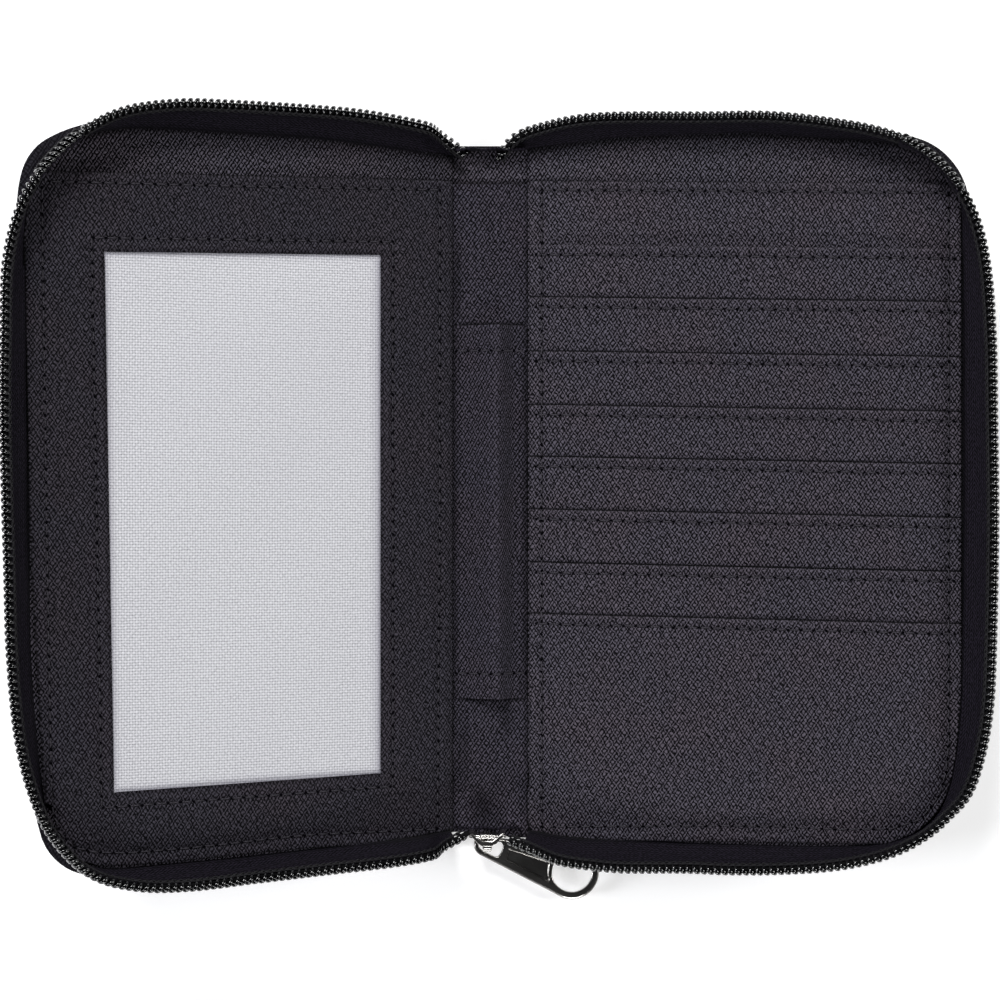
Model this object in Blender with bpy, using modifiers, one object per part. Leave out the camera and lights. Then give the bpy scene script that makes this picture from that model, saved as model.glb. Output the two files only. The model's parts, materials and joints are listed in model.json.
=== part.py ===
# Zip-around passport wallet standing open: two stiffened covers folding on a soft spine,
# a mesh-window pocket on the left, eight card slots on the right, a pen sleeve on the
# spine, and a coil zip on woven tape round the edge. Metres, +Z up, table at z = 0,
# origin on the underside of the spine.
import math
import bpy
import bmesh
from mathutils import Matrix, Vector

for old in list(bpy.data.objects):
    bpy.data.objects.remove(old, do_unlink=True)

MM = 0.001

# Spine and covers
AXIS_X = 8.3 * MM            # fold axes each side of the spine
AXIS_Z = 3.8 * MM            # fold axes lie in the lining surface
LEFT_REST = 23.0             # degrees each cover stands up from the table at rest
RIGHT_REST = 6.0
SPINE_HALF = 8.0 * MM
SPINE_TOP = 73.4 * MM
COVER_IN = 8.8 * MM
COVER_OUT = 103.0 * MM
EDGE_NEAR = 74.0 * MM        # half height of a cover beside the spine
EDGE_FAR = 77.5 * MM         # half height of a cover away from the spine
EDGE_RUN = 36.0 * MM
SHELL_CORNER = 14.0 * MM

# Zip
COIL_R = 1.35 * MM
COIL_OUT = 107.2 * MM
COIL_NEAR = 76.6 * MM
COIL_FAR = 80.7 * MM
COIL_RUN = 30.0 * MM
COIL_CORNER = 37.0 * MM
COIL_Z = 10.6 * MM
COIL_Z_END = 9.6 * MM
ZIP_START = 15.8 * MM        # where the zip leaves the spine and joins a cover
TAPE_T = 0.5 * MM
TAPE_Z = 4.1 * MM
SEAM_INSET = 2.0 * MM
SEAM_CORNER = 12.0 * MM

# Pockets
PANEL_TOP = 66.0 * MM
PANEL_OUT = 100.0 * MM
PANEL_IN = 9.0 * MM
SLOT_TOP = 52.3 * MM         # first card-slot edge
SLOT_PITCH = 11.5 * MM
SLOT_LONG = 46.0 * MM
SLOT_T = 0.25 * MM
SLOT_COUNT = 8
SLOT_STEP = 0.55 * MM        # rise of one slot strip over the next

# Slider and pull
SLIDER_X = -0.6 * MM
SLIDER_FRONT = 76.7 * MM
BAR_Y = 78.9 * MM
BAR_Z = 4.5 * MM
PULL_ANGLE = math.radians(-13.0)
RING_AT = 18.6 * MM

col = bpy.data.collections.new("passport_wallet")
cut = bpy.data.collections.new("cutters")
bpy.context.scene.collection.children.link(col)
bpy.context.scene.collection.children.link(cut)


def material(name, rgb, rough, metal=0.0):
    m = bpy.data.materials.new(name)
    m.use_nodes = True
    b = m.node_tree.nodes["Principled BSDF"]
    b.inputs["Base Color"].default_value = (rgb[0], rgb[1], rgb[2], 1.0)
    b.inputs["Roughness"].default_value = rough
    b.inputs["Metallic"].default_value = metal
    m.diffuse_color = (rgb[0], rgb[1], rgb[2], 1.0)
    return m


SHELL = material("shell_polyester", (0.030, 0.027, 0.036), 0.85)
DOBBY = material("pocket_dobby", (0.045, 0.041, 0.052), 0.8)
LINING = material("lining_weave", (0.028, 0.026, 0.033), 0.7)
MESH = material("window_mesh", (0.58, 0.59, 0.62), 0.6)
TAPE = material("zip_tape", (0.022, 0.021, 0.028), 0.75)
COIL = material("zip_coil", (0.020, 0.020, 0.022), 0.25)
METAL = material("gunmetal", (0.30, 0.29, 0.30), 0.28, 1.0)
FOAM = material("padding_foam", (0.35, 0.35, 0.36), 0.95)
BOARD = material("stiffener_board", (0.42, 0.38, 0.32), 0.8)
FOIL = material("shield_foil", (0.62, 0.63, 0.65), 0.35, 1.0)


def put(obj, mat, where=col):
    where.objects.link(obj)
    if mat is not None:
        obj.data.materials.clear()
        obj.data.materials.append(mat)
    return obj


def mesh_from(obj, name, mat, where=col):
    """Turn a curve or a modified object into one clean closed mesh."""
    if not obj.users_collection:
        cut.objects.link(obj)
    bpy.context.view_layer.update()
    got = obj.evaluated_get(bpy.context.evaluated_depsgraph_get())
    me = bpy.data.meshes.new_from_object(got)
    bm = bmesh.new()
    bm.from_mesh(me)
    bmesh.ops.transform(bm, matrix=obj.matrix_world, verts=bm.verts)
    bmesh.ops.remove_doubles(bm, verts=bm.verts, dist=0.000005)
    bmesh.ops.recalc_face_normals(bm, faces=bm.faces)
    bm.to_mesh(me)
    bm.free()
    me.name = name
    bpy.data.objects.remove(obj, do_unlink=True)
    return put(bpy.data.objects.new(name, me), mat, where)


def smooth(t):
    t = min(max(t, 0.0), 1.0)
    return t * t * (3.0 - 2.0 * t)


def cover_edge(x, inset=0.0):
    """Half height of a cover at distance x from the spine centre."""
    grow = smooth((x - COVER_IN) / EDGE_RUN)
    return EDGE_NEAR + (EDGE_FAR - EDGE_NEAR) * grow - inset


def cover_outline(inset, x_in, x_out, corner):
    """Outline of a cover plate on the +X side, counter-clockwise."""
    run = [x_in + (COVER_IN + EDGE_RUN - x_in) * i / 6 for i in range(7)]
    low = [(x, -cover_edge(x, inset)) for x in run]
    y = cover_edge(x_out, inset)
    arc = []
    for sy in (-1, 1):
        for i in range(9):
            a = math.radians(90.0 * i / 8) if sy > 0 else math.radians(-90.0 + 90.0 * i / 8)
            cx = x_out - corner
            cy = sy * (y - corner)
            arc.append((cx + corner * math.cos(a), cy + corner * math.sin(a)))
    high = [(x, -yy) for x, yy in reversed(low)]
    return low + arc + high


def mirrored(points):
    return [(-x, y) for x, y in reversed(points)]


def flat_plate(name, points, z0, z1, mat, holes=()):
    cu = bpy.data.curves.new(name, "CURVE")
    cu.dimensions = "2D"
    cu.fill_mode = "BOTH"
    cu.extrude = (z1 - z0) / 2
    for ring in [points] + list(holes):
        sp = cu.splines.new("POLY")
        sp.points.add(len(ring) - 1)
        for p, (x, y) in zip(sp.points, ring):
            p.co = (x, y, 0.0, 1.0)
        sp.use_cyclic_u = True
    ob = bpy.data.objects.new(name, cu)
    ob.location = (0.0, 0.0, (z0 + z1) / 2)
    return mesh_from(ob, name, mat)


def rectangle(x0, x1, y0, y1):
    return [(x0, y0), (x1, y0), (x1, y1), (x0, y1)]


def soft_rectangle(x0, x1, y0, y1, r, n=4):
    pts = []
    for cx, cy, a0 in ((x1 - r, y0 + r, -90), (x1 - r, y1 - r, 0), (x0 + r, y1 - r, 90),
                       (x0 + r, y0 + r, 180)):
        for i in range(n + 1):
            a = math.radians(a0 + 90.0 * i / n)
            pts.append((cx + r * math.cos(a), cy + r * math.sin(a)))
    return pts


def side(points, s):
    return points if s > 0 else mirrored(points)


# ---------------------------------------------------------------- covers
for label, s in (("left", -1), ("right", 1)):
    shell = cover_outline(0.0, COVER_IN, COVER_OUT, SHELL_CORNER)
    flat_plate(label + "_outer_shell", side(shell, s), 0.0, 0.7 * MM, SHELL)
    inner = cover_outline(1.6 * MM, COVER_IN + 0.4 * MM, COVER_OUT - 1.6 * MM, 12.6 * MM)
    flat_plate(label + "_foam_padding", side(inner, s), 1.0 * MM, 1.8 * MM, FOAM)
    board = cover_outline(3.0 * MM, COVER_IN + 1.6 * MM, COVER_OUT - 3.0 * MM, 11.0 * MM)
    flat_plate(label + "_stiffener_board", side(board, s), 2.1 * MM, 2.7 * MM, BOARD)
    foil = cover_outline(3.6 * MM, COVER_IN + 2.0 * MM, COVER_OUT - 3.6 * MM, 10.5 * MM)
    flat_plate(label + "_shield_liner", side(foil, s), 3.0 * MM, 3.15 * MM, FOIL)
    lining = cover_outline(0.8 * MM, COVER_IN, COVER_OUT - 0.8 * MM, 13.3 * MM)
    flat_plate(label + "_back_lining", side(lining, s), 3.45 * MM, 3.8 * MM, LINING)


def panel_outline(x_in, x_out, top, inset):
    """A pocket panel: straight top edge, bottom edge following the cover."""
    xs = [x_in + (COVER_IN + EDGE_RUN - x_in) * i / 5 for i in range(6)]
    low = [(x, -cover_edge(x, inset)) for x in xs]
    y = cover_edge(x_out, inset)
    r = 12.0 * MM
    arc = []
    for i in range(7):
        a = math.radians(-90.0 + 90.0 * i / 6)
        arc.append((x_out - r + r * math.cos(a), -y + r + r * math.sin(a)))
    return low + arc + [(x_out, top), (x_in, top)]


# Left pocket: a framed panel with a see-through woven mesh window behind its opening
WIN_X = (-85.6 * MM, -25.1 * MM)
WIN_Y = (-62.4 * MM, 50.4 * MM)
frame_pts = mirrored(panel_outline(PANEL_IN, PANEL_OUT, PANEL_TOP, 2.8 * MM))
hole = soft_rectangle(WIN_X[0], WIN_X[1], WIN_Y[0], WIN_Y[1], 1.2 * MM)
flat_plate("window_pocket_panel", frame_pts, 4.7 * MM, 5.1 * MM, DOBBY, [hole])
LAP = 3.2 * MM
mesh_pts = soft_rectangle(WIN_X[0] - LAP, WIN_X[1] + LAP, WIN_Y[0] - LAP, WIN_Y[1] + LAP, 1.5 * MM)
flat_plate("mesh_window", mesh_pts, 4.15 * MM, 4.4 * MM, MESH)

# Right pocket: a full panel carrying eight overlapping card-slot strips
base_pts = panel_outline(PANEL_IN, PANEL_OUT, PANEL_TOP, 2.8 * MM)
flat_plate("card_pocket_panel", base_pts, 4.2 * MM, 4.5 * MM, DOBBY)
TILT = math.atan((SLOT_LONG / SLOT_PITCH) * SLOT_STEP / SLOT_LONG)
for k in range(SLOT_COUNT):
    top = SLOT_TOP - k * SLOT_PITCH
    if k < SLOT_COUNT - 1:
        pts = rectangle(PANEL_IN + 0.4 * MM, PANEL_OUT - 0.5 * MM, top - SLOT_LONG, top)
    else:
        pts = panel_outline(PANEL_IN + 0.4 * MM, PANEL_OUT - 0.5 * MM, top, 3.2 * MM)
    strip = flat_plate("card_slot_%d" % (k + 1), pts, 0.0, SLOT_T, DOBBY)
    drop = Matrix.Translation((0.0, top, 4.8 * MM + SLOT_LONG / SLOT_PITCH * SLOT_STEP))
    swing = Matrix.Rotation(TILT, 4, "X")
    strip.data.transform(drop @ swing @ Matrix.Translation((0.0, -top, 0.0)))

# ---------------------------------------------------------------- spine
flat_plate("spine_shell", rectangle(-SPINE_HALF, SPINE_HALF, -SPINE_TOP, SPINE_TOP),
           0.0, 0.7 * MM, SHELL)
flat_plate("spine_padding", rectangle(-7.0 * MM, 7.0 * MM, -71.0 * MM, 71.0 * MM),
           1.0 * MM, 2.2 * MM, FOAM)
flat_plate("spine_lining", rectangle(-SPINE_HALF, SPINE_HALF, -SPINE_TOP, SPINE_TOP),
           2.5 * MM, 2.8 * MM, LINING)
flat_plate("spine_pocket_strip", rectangle(-7.8 * MM, 7.8 * MM, -72.0 * MM, PANEL_TOP),
           3.1 * MM, 3.4 * MM, DOBBY)


def along_y(name, section, y0, y1, mat):
    """Extrude a closed X-Z section from y0 to y1."""
    ob = flat_plate(name, section, 0.0, y1 - y0, mat)
    turn = Matrix(((1, 0, 0, 0), (0, 0, -1, y1), (0, 1, 0, 0), (0, 0, 0, 1)))
    ob.data.transform(turn)
    return ob


WALL = 0.45 * MM
ARCH = 4.3 * MM
sleeve = [(-7.6 * MM, 3.7 * MM), (-ARCH + WALL, 3.7 * MM)]
for i in range(9):
    a = math.radians(180.0 - 22.5 * i)
    sleeve.append(((ARCH - WALL) * math.cos(a), 6.2 * MM + 2.9 * MM * math.sin(a)))
sleeve += [(ARCH - WALL, 3.7 * MM), (7.6 * MM, 3.7 * MM), (7.6 * MM, 4.0 * MM), (ARCH, 4.0 * MM)]
for i in range(9):
    a = math.radians(22.5 * i)
    sleeve.append((ARCH * math.cos(a), 6.2 * MM + (2.9 * MM + WALL) * math.sin(a)))
sleeve += [(-ARCH, 4.0 * MM), (-7.6 * MM, 4.0 * MM)]
along_y("pen_sleeve", sleeve, -45.0 * MM, 35.2 * MM, DOBBY)


# ---------------------------------------------------------------- zip
def loop_path(x_near, y_near, x_out, y_far, run, corner, start):
    """Half ring round a cover on the +X side, from the top of the spine to the bottom."""
    half = []
    for i in range(8):
        x = start + (x_near + run - start) * i / 7
        half.append((x, y_near + (y_far - y_near) * smooth((x - x_near) / run)))
    for i in range(1, 13):
        a = math.radians(90.0 - 90.0 * i / 12)
        half.append((x_out - corner + corner * math.cos(a), y_far - corner + corner * math.sin(a)))
    return half + [(x, -y) for x, y in reversed(half)]


def coil_height(i, n):
    near = min(i, n - 1 - i) / 7.0
    return COIL_Z_END + (COIL_Z - COIL_Z_END) * smooth(near)


coil_xy = loop_path(COVER_IN, COIL_NEAR, COIL_OUT, COIL_FAR, COIL_RUN, COIL_CORNER, ZIP_START)
coil_pts = [Vector((x, y, coil_height(i, len(coil_xy)))) for i, (x, y) in enumerate(coil_xy)]
seam_xy = loop_path(COVER_IN, EDGE_NEAR - SEAM_INSET, COVER_OUT - SEAM_INSET,
                    EDGE_FAR - SEAM_INSET, COIL_RUN, SEAM_CORNER, ZIP_START)
seam_pts = [Vector((x, y, TAPE_Z)) for x, y in seam_xy]


def tube(name, points, radius, mat, s=1, ring=3):
    cu = bpy.data.curves.new(name, "CURVE")
    cu.dimensions = "3D"
    cu.bevel_depth = radius
    cu.bevel_resolution = ring - 1
    cu.use_fill_caps = True
    sp = cu.splines.new("POLY")
    sp.points.add(len(points) - 1)
    for p, q in zip(sp.points, points):
        p.co = (s * q[0], q[1], q[2], 1.0)
    ob = mesh_from(bpy.data.objects.new(name, cu), name, mat)
    for f in ob.data.polygons:
        f.use_smooth = len(f.vertices) == 4
    return ob


def tape_loft(name, s):
    """Woven tape standing from the seam round a cover up to its coil."""
    n = len(coil_pts)
    bm = bmesh.new()
    rings = []
    for i in range(n):
        lo = seam_pts[i]
        hi = coil_pts[i]
        along = (coil_pts[min(i + 1, n - 1)] - coil_pts[max(i - 1, 0)]).normalized()
        up = hi - lo
        up = (up - along * up.dot(along)).normalized()
        out = along.cross(up).normalized()
        tip = hi - up * (COIL_R + 0.3 * MM)
        ring = [lo - out * TAPE_T / 2, lo + out * TAPE_T / 2,
                tip + out * TAPE_T / 2, tip - out * TAPE_T / 2]
        for q in ring[:2]:
            q.z = TAPE_Z
        rings.append([bm.verts.new((s * q.x, q.y, q.z)) for q in ring])
    for a, b in zip(rings, rings[1:]):
        for j in range(4):
            bm.faces.new((a[j], a[(j + 1) % 4], b[(j + 1) % 4], b[j]))
    bm.faces.new(rings[0])
    bm.faces.new(list(reversed(rings[-1])))
    bmesh.ops.recalc_face_normals(bm, faces=bm.faces)
    me = bpy.data.meshes.new(name)
    bm.to_mesh(me)
    bm.free()
    return put(bpy.data.objects.new(name, me), TAPE)


for label, s in (("left", -1), ("right", 1)):
    tape_loft(label + "_zip_tape", s)
    tube(label + "_zip_coil", coil_pts, COIL_R, COIL, s)

# Short coil ends held by the spine, dipping behind its two ends
for end, sy in (("top", 1), ("bottom", -1)):
    for label, s in (("left", -1), ("right", 1)):
        reach = [(12.8, 76.9, 9.3), (11.0, 76.7, 9.2), (9.0, 76.4, 9.0), (6.8, 76.2, 8.3)]
        if sy > 0:
            reach += [(5.0, 76.0, 6.9), (4.3, 75.9, 4.6), (4.3, 75.9, 2.4)]
        tube("zip_coil_end_%s_%s" % (end, label),
             [Vector((x * MM, sy * y * MM, z * MM)) for x, y, z in reach], COIL_R, COIL, s)

# Tape ends closing the spine at top and bottom, and the sewn-on stop at the top
flat_plate("zip_tape_end_top", rectangle(-7.6 * MM, 7.6 * MM, 73.75 * MM, 74.2 * MM),
           0.4 * MM, 8.0 * MM, TAPE)
flat_plate("zip_tape_end_bottom", rectangle(-7.6 * MM, 7.6 * MM, -74.1 * MM, -73.75 * MM),
           0.4 * MM, 3.6 * MM, TAPE)


def block(name, x, y, z, mat, bevel, segs=2, where=col):
    bm = bmesh.new()
    bmesh.ops.create_cube(bm, size=1.0)
    me = bpy.data.meshes.new(name)
    bm.to_mesh(me)
    bm.free()
    me.transform(Matrix.Translation(((x[0] + x[1]) / 2, (y[0] + y[1]) / 2, (z[0] + z[1]) / 2))
                 @ Matrix.Diagonal((x[1] - x[0], y[1] - y[0], z[1] - z[0], 1.0)))
    ob = bpy.data.objects.new(name, me)
    where.objects.link(ob)
    if mat is not None:
        me.materials.append(mat)
    if bevel > 0.0:
        b = ob.modifiers.new("edge", "BEVEL")
        b.width = bevel
        b.segments = segs
        b.limit_method = "ANGLE"
    return ob


def carve(target, tool, how="DIFFERENCE"):
    m = target.modifiers.new(how.lower(), "BOOLEAN")
    m.operation = how
    m.solver = "EXACT"
    m.object = tool
    tool.hide_render = True
    tool.display_type = "WIRE"


block("zip_end_stop", (-2.4 * MM, 2.4 * MM), (74.7 * MM, 76.6 * MM), (1.0 * MM, 4.6 * MM),
      TAPE, 0.5 * MM)

# ---------------------------------------------------------------- slider and pull
# The slider stands on edge at the bottom of the spine: shoulders up, back to the spine.
body_section = [(-2.7, 0.5), (2.7, 0.5), (3.3, 3.6), (4.0, 5.6), (3.9, 7.6), (2.4, 8.6),
                (-2.4, 8.6), (-3.9, 7.6), (-4.0, 5.6), (-3.3, 3.6)]
body = flat_plate("slider_body", [(SLIDER_X + x * MM, z * MM) for x, z in body_section],
                  0.0, SLIDER_FRONT - 74.4 * MM, METAL)
stand = Matrix(((1, 0, 0, 0), (0, 0, -1, -74.4 * MM), (0, 1, 0, 0), (0, 0, 0, 1)))
body.data.transform(stand)
edge = body.modifiers.new("edge", "BEVEL")
edge.width = 0.35 * MM
edge.segments = 2
edge.limit_method = "ANGLE"
mid_y = -(SLIDER_FRONT + 74.4 * MM) / 2
for sx in (-1, 1):
    slot = block("tape_slot_%d" % sx, (2.2 * MM, 6.0 * MM), (mid_y - 0.55 * MM, mid_y + 0.55 * MM),
                 (-1.0 * MM, 12.0 * MM), None, 0.0, where=cut)
    slot.data.transform(Matrix.Translation((SLIDER_X, 0, 0)) @ Matrix.Diagonal((sx, 1, 1, 1)))
    slot.data.flip_normals() if sx < 0 else None
    carve(body, slot)

arch = [(0.0, 7.3), (0.0, 6.4), (1.55, 6.4), (1.75, 6.2), (1.75, 2.8), (1.55, 2.6), (0.0, 2.6),
        (0.0, 1.7), (1.9, 1.7), (2.75, 2.7), (2.75, 6.3), (1.9, 7.3)]
bridge = flat_plate("slider_bridge",
                    [(-SLIDER_FRONT - 0.3 * MM - u * MM, z * MM) for u, z in arch],
                    -0.6 * MM, 0.6 * MM, METAL)
bridge.data.transform(Matrix.Translation((SLIDER_X, 0, 0))
                      @ Matrix(((0, 0, 1, 0), (1, 0, 0, 0), (0, 1, 0, 0), (0, 0, 0, 1))))


def circle(cx, cy, r, a0, a1, n):
    return [(cx + r * math.cos(math.radians(a0 + (a1 - a0) * i / n)),
             cy + r * math.sin(math.radians(a0 + (a1 - a0) * i / n))) for i in range(n + 1)]


EYE_R = 1.95 * MM
RING_R = 5.9 * MM
lean = math.degrees(math.asin((RING_R - EYE_R) / RING_AT))
pull_pts = circle(0.0, 0.0, EYE_R, 90 + lean, 270 - lean, 10)
pull_pts += circle(RING_AT, 0.0, RING_R, -90 - lean, 90 + lean, 18)
eye = circle(0.0, 0.0, 1.2 * MM, 0, 330, 11)
ring = circle(RING_AT, 0.0, 4.2 * MM, 0, 345, 23)
pull = flat_plate("pull_tab", pull_pts, -0.8 * MM, 0.8 * MM, METAL, [eye, ring])
recess = flat_plate("recess", [(4.4 * MM, -1.7 * MM), (12.6 * MM, -3.2 * MM),
                               (12.6 * MM, 3.2 * MM), (4.4 * MM, 1.7 * MM)],
                    0.45 * MM, 1.2 * MM, None)
col.objects.unlink(recess)
cut.objects.link(recess)
bar_at = Vector((SLIDER_X, -BAR_Y, BAR_Z))
for ob in (pull, recess):
    ob.matrix_world = Matrix.Translation(bar_at) @ Matrix.Rotation(PULL_ANGLE, 4, "Z")
carve(pull, recess)

# ---------------------------------------------------------------- covers at rest
# Each cover turns about its fold axis, and stands a little open off the table.
FOLDS = {"left_": (-1, LEFT_REST), "window_": (-1, LEFT_REST), "mesh_": (-1, LEFT_REST),
         "right_": (1, RIGHT_REST), "card_": (1, RIGHT_REST)}
for ob in list(col.objects):
    for start, (s, rest) in FOLDS.items():
        if ob.name.startswith(start):
            at = Vector((s * AXIS_X, 0.0, AXIS_Z))
            ob.data.transform(Matrix.Translation(-at))
            ob.location = at
            ob.rotation_euler = (0.0, -s * math.radians(rest), 0.0)

for ob in cut.objects:
    ob.hide_render = True
    ob.display_type = "WIRE"
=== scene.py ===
import json
import math

import bmesh
import bpy
import numpy as np
from mathutils import Matrix, Vector


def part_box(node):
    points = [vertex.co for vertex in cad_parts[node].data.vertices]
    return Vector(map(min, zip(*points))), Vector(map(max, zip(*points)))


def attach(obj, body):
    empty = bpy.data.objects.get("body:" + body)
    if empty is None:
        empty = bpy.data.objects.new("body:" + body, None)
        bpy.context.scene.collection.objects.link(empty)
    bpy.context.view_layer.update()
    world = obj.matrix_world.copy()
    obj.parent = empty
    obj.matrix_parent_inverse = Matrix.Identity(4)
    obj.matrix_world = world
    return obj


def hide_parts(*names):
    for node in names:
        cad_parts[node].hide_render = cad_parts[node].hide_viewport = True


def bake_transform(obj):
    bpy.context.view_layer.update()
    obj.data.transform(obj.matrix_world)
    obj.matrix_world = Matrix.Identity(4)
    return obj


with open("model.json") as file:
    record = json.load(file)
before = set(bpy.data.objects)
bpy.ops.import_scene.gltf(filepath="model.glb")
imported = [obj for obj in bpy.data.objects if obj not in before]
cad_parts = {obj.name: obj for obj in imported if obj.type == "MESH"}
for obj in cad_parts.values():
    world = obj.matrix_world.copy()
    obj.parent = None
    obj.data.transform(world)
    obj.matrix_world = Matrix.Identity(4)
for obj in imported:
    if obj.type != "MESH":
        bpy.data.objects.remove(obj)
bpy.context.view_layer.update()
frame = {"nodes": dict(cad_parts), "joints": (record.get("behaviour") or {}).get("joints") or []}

MM = 0.001

# ------------------------------------------------------------------ the frame's own numbers
JOINTS = {j["name"]: j for j in frame["joints"]}
AX = JOINTS["right_fold"]["pos_m"][0] / MM      # fold axes, in millimetres
AZ = JOINTS["right_fold"]["pos_m"][2] / MM
REST = {s: math.radians(-JOINTS[n]["range_deg"][0]) for s, n in ((-1, "left_fold"), (1, "right_fold"))}
BODY = {-1: "left_cover", 1: "right_cover"}
SIDE = {-1: "left", 1: "right"}

# Every cover piece is made lying flat: u is the distance out from the spine's centre,
# y runs up the wallet, h is the height above the lining. fold_up() then turns it to rest.


# ------------------------------------------------------------------ camera, floor and light
def aim(obj, at):
    obj.rotation_mode = "QUATERNION"
    obj.rotation_quaternion = (Vector(at) - obj.location).to_track_quat("-Z", "Y")


def placed(name, data):
    """A new object for some data, put in the scene."""
    ob = bpy.data.objects.new(name, data)
    bpy.context.scene.collection.objects.link(ob)
    return ob


SENSOR, PICTURE_AWAY, PICTURE_WIDE = 36.0, 566.0, 218.9      # the photo is 218.9 mm wide at 566 mm
cam_data = bpy.data.cameras.new("camera")
cam = placed("camera", cam_data)
cam.location = Vector((2.19 * MM, -2.4 * MM, 570.0 * MM))
cam_data.sensor_width = SENSOR
cam_data.lens = SENSOR * PICTURE_AWAY / PICTURE_WIDE
cam_data.clip_start = 0.01
cam_data.clip_end = 20.0
bpy.context.scene.camera = cam


def area_light(name, at, target, size, watts, tint=(1.0, 1.0, 1.0)):
    data = bpy.data.lights.new(name, "AREA")
    data.shape = "RECTANGLE"
    data.size, data.size_y = size
    data.energy = watts
    data.color = tint
    ob = placed(name, data)
    ob.location = at
    aim(ob, target)


area_light("key_top", (-0.30, 0.85, 0.95), (0, 0, 0), (0.55, 0.32), 14.0)
area_light("fill_left", (-1.05, -0.15, 0.75), (0, 0, 0), (0.3, 0.6), 7.0, (0.94, 0.95, 1.0))
area_light("fill_right", (1.05, 0.1, 0.7), (0, 0, 0), (0.3, 0.6), 6.5)
area_light("low_front", (0.1, -1.05, 0.6), (0, -0.05, 0), (0.6, 0.22), 6.0)
bpy.context.scene.view_settings.view_transform = "Standard"

# the room is pale round the horizon and dark overhead, where the camera hangs
world = bpy.data.worlds.new("studio")
world.use_nodes = True
wt = world.node_tree
where = wt.nodes.new("ShaderNodeTexCoord")
split = wt.nodes.new("ShaderNodeSeparateXYZ")
fade = wt.nodes.new("ShaderNodeMapRange")
for name, value in (("From Min", 0.15), ("From Max", 0.95), ("To Min", 0.55), ("To Max", 0.09)):
    fade.inputs[name].default_value = value
wt.links.new(where.outputs["Generated"], split.inputs[0])
wt.links.new(split.outputs[2], fade.inputs["Value"])
wt.links.new(fade.outputs[0], wt.nodes["Background"].inputs["Strength"])
bpy.context.scene.world = world


# ------------------------------------------------------------------ materials
class Value:
    """The output of a shader node, with arithmetic."""

    def __init__(self, nodes, socket):
        self.nodes, self.socket = nodes, socket

    def __add__(self, other):
        return self.nodes.math("ADD", self, other)

    def __sub__(self, other):
        return self.nodes.math("SUBTRACT", self, other)

    def __rsub__(self, other):
        return self.nodes.math("SUBTRACT", other, self)

    def __mul__(self, other):
        return self.nodes.math("MULTIPLY", self, other)


class Nodes:
    """A small helper for building a material's nodes."""

    def __init__(self, name):
        self.mat = bpy.data.materials.new(name)
        self.mat.use_nodes = True
        self.tree = self.mat.node_tree
        self.shader = self.tree.nodes["Principled BSDF"]

    def put(self, socket, v):
        """Give a socket a number, a colour or another node's output."""
        if isinstance(v, (int, float)):
            socket.default_value = v
        elif isinstance(v, tuple):
            socket.default_value = (*v, 1.0)
        else:
            self.tree.links.new(v.socket, socket)

    def node(self, kind, out, inputs=(), **settings):
        n = self.tree.nodes.new(kind)
        for key, value in settings.items():
            setattr(n, key, value)
        for key, value in inputs:
            self.put(n.inputs[key], value)
        return Value(self, n.outputs[out])

    def math(self, op, *terms):
        return self.node("ShaderNodeMath", 0, enumerate(terms), operation=op)

    def uv(self):
        flat = self.node("ShaderNodeUVMap", 0, uv_map="flat")
        x = self.node("ShaderNodeSeparateXYZ", 0, [(0, flat)])
        return flat, x, Value(self, x.socket.node.outputs[1])

    def place(self):
        return self.node("ShaderNodeTexCoord", "Object")

    def noise(self, vector, scale, detail=3.0, rough=0.55):
        return self.node("ShaderNodeTexNoise", "Fac", [("Scale", scale), ("Detail", detail),
                                                       ("Roughness", rough), ("Vector", vector)])

    def mix(self, fac, a, b, blend="MIX"):
        return self.node("ShaderNodeMix", 2, ((0, fac), (6, a), (7, b)), data_type="RGBA", blend_type=blend)

    def ramp(self, fac, low, high):
        return self.node("ShaderNodeMapRange", 0, [("From Min", low), ("From Max", high), ("Value", fac)],
                         interpolation_type="SMOOTHSTEP")

    def attribute(self, name):
        return self.node("ShaderNodeAttribute", "Fac", attribute_name=name)

    def bump(self, height, strength, distance):
        return self.node("ShaderNodeBump", 0, [("Strength", strength), ("Distance", distance),
                                               ("Height", height)])

    def finish(self, color, rough, normal=None, **plain):
        for name, v in (("Base Color", color), ("Roughness", rough), ("Normal", normal)):
            if v is not None:
                self.put(self.shader.inputs[name], v)
        for name, v in plain.items():
            self.shader.inputs[name.replace("_", " ")].default_value = v
        return self.mat


def scaled(color, gain, lift=0.0):
    return tuple(gain * c + lift for c in color)


DOT_ACROSS, DOT_ALONG = 1.685, 2.53      # repeat of the weave's diamond lattice
# colour of painted shade: the shade in seams, creases, gaps and between cloth layers
PAINTED_SHADE_COLOR = (0.0015, 0.0013, 0.0022)


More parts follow.
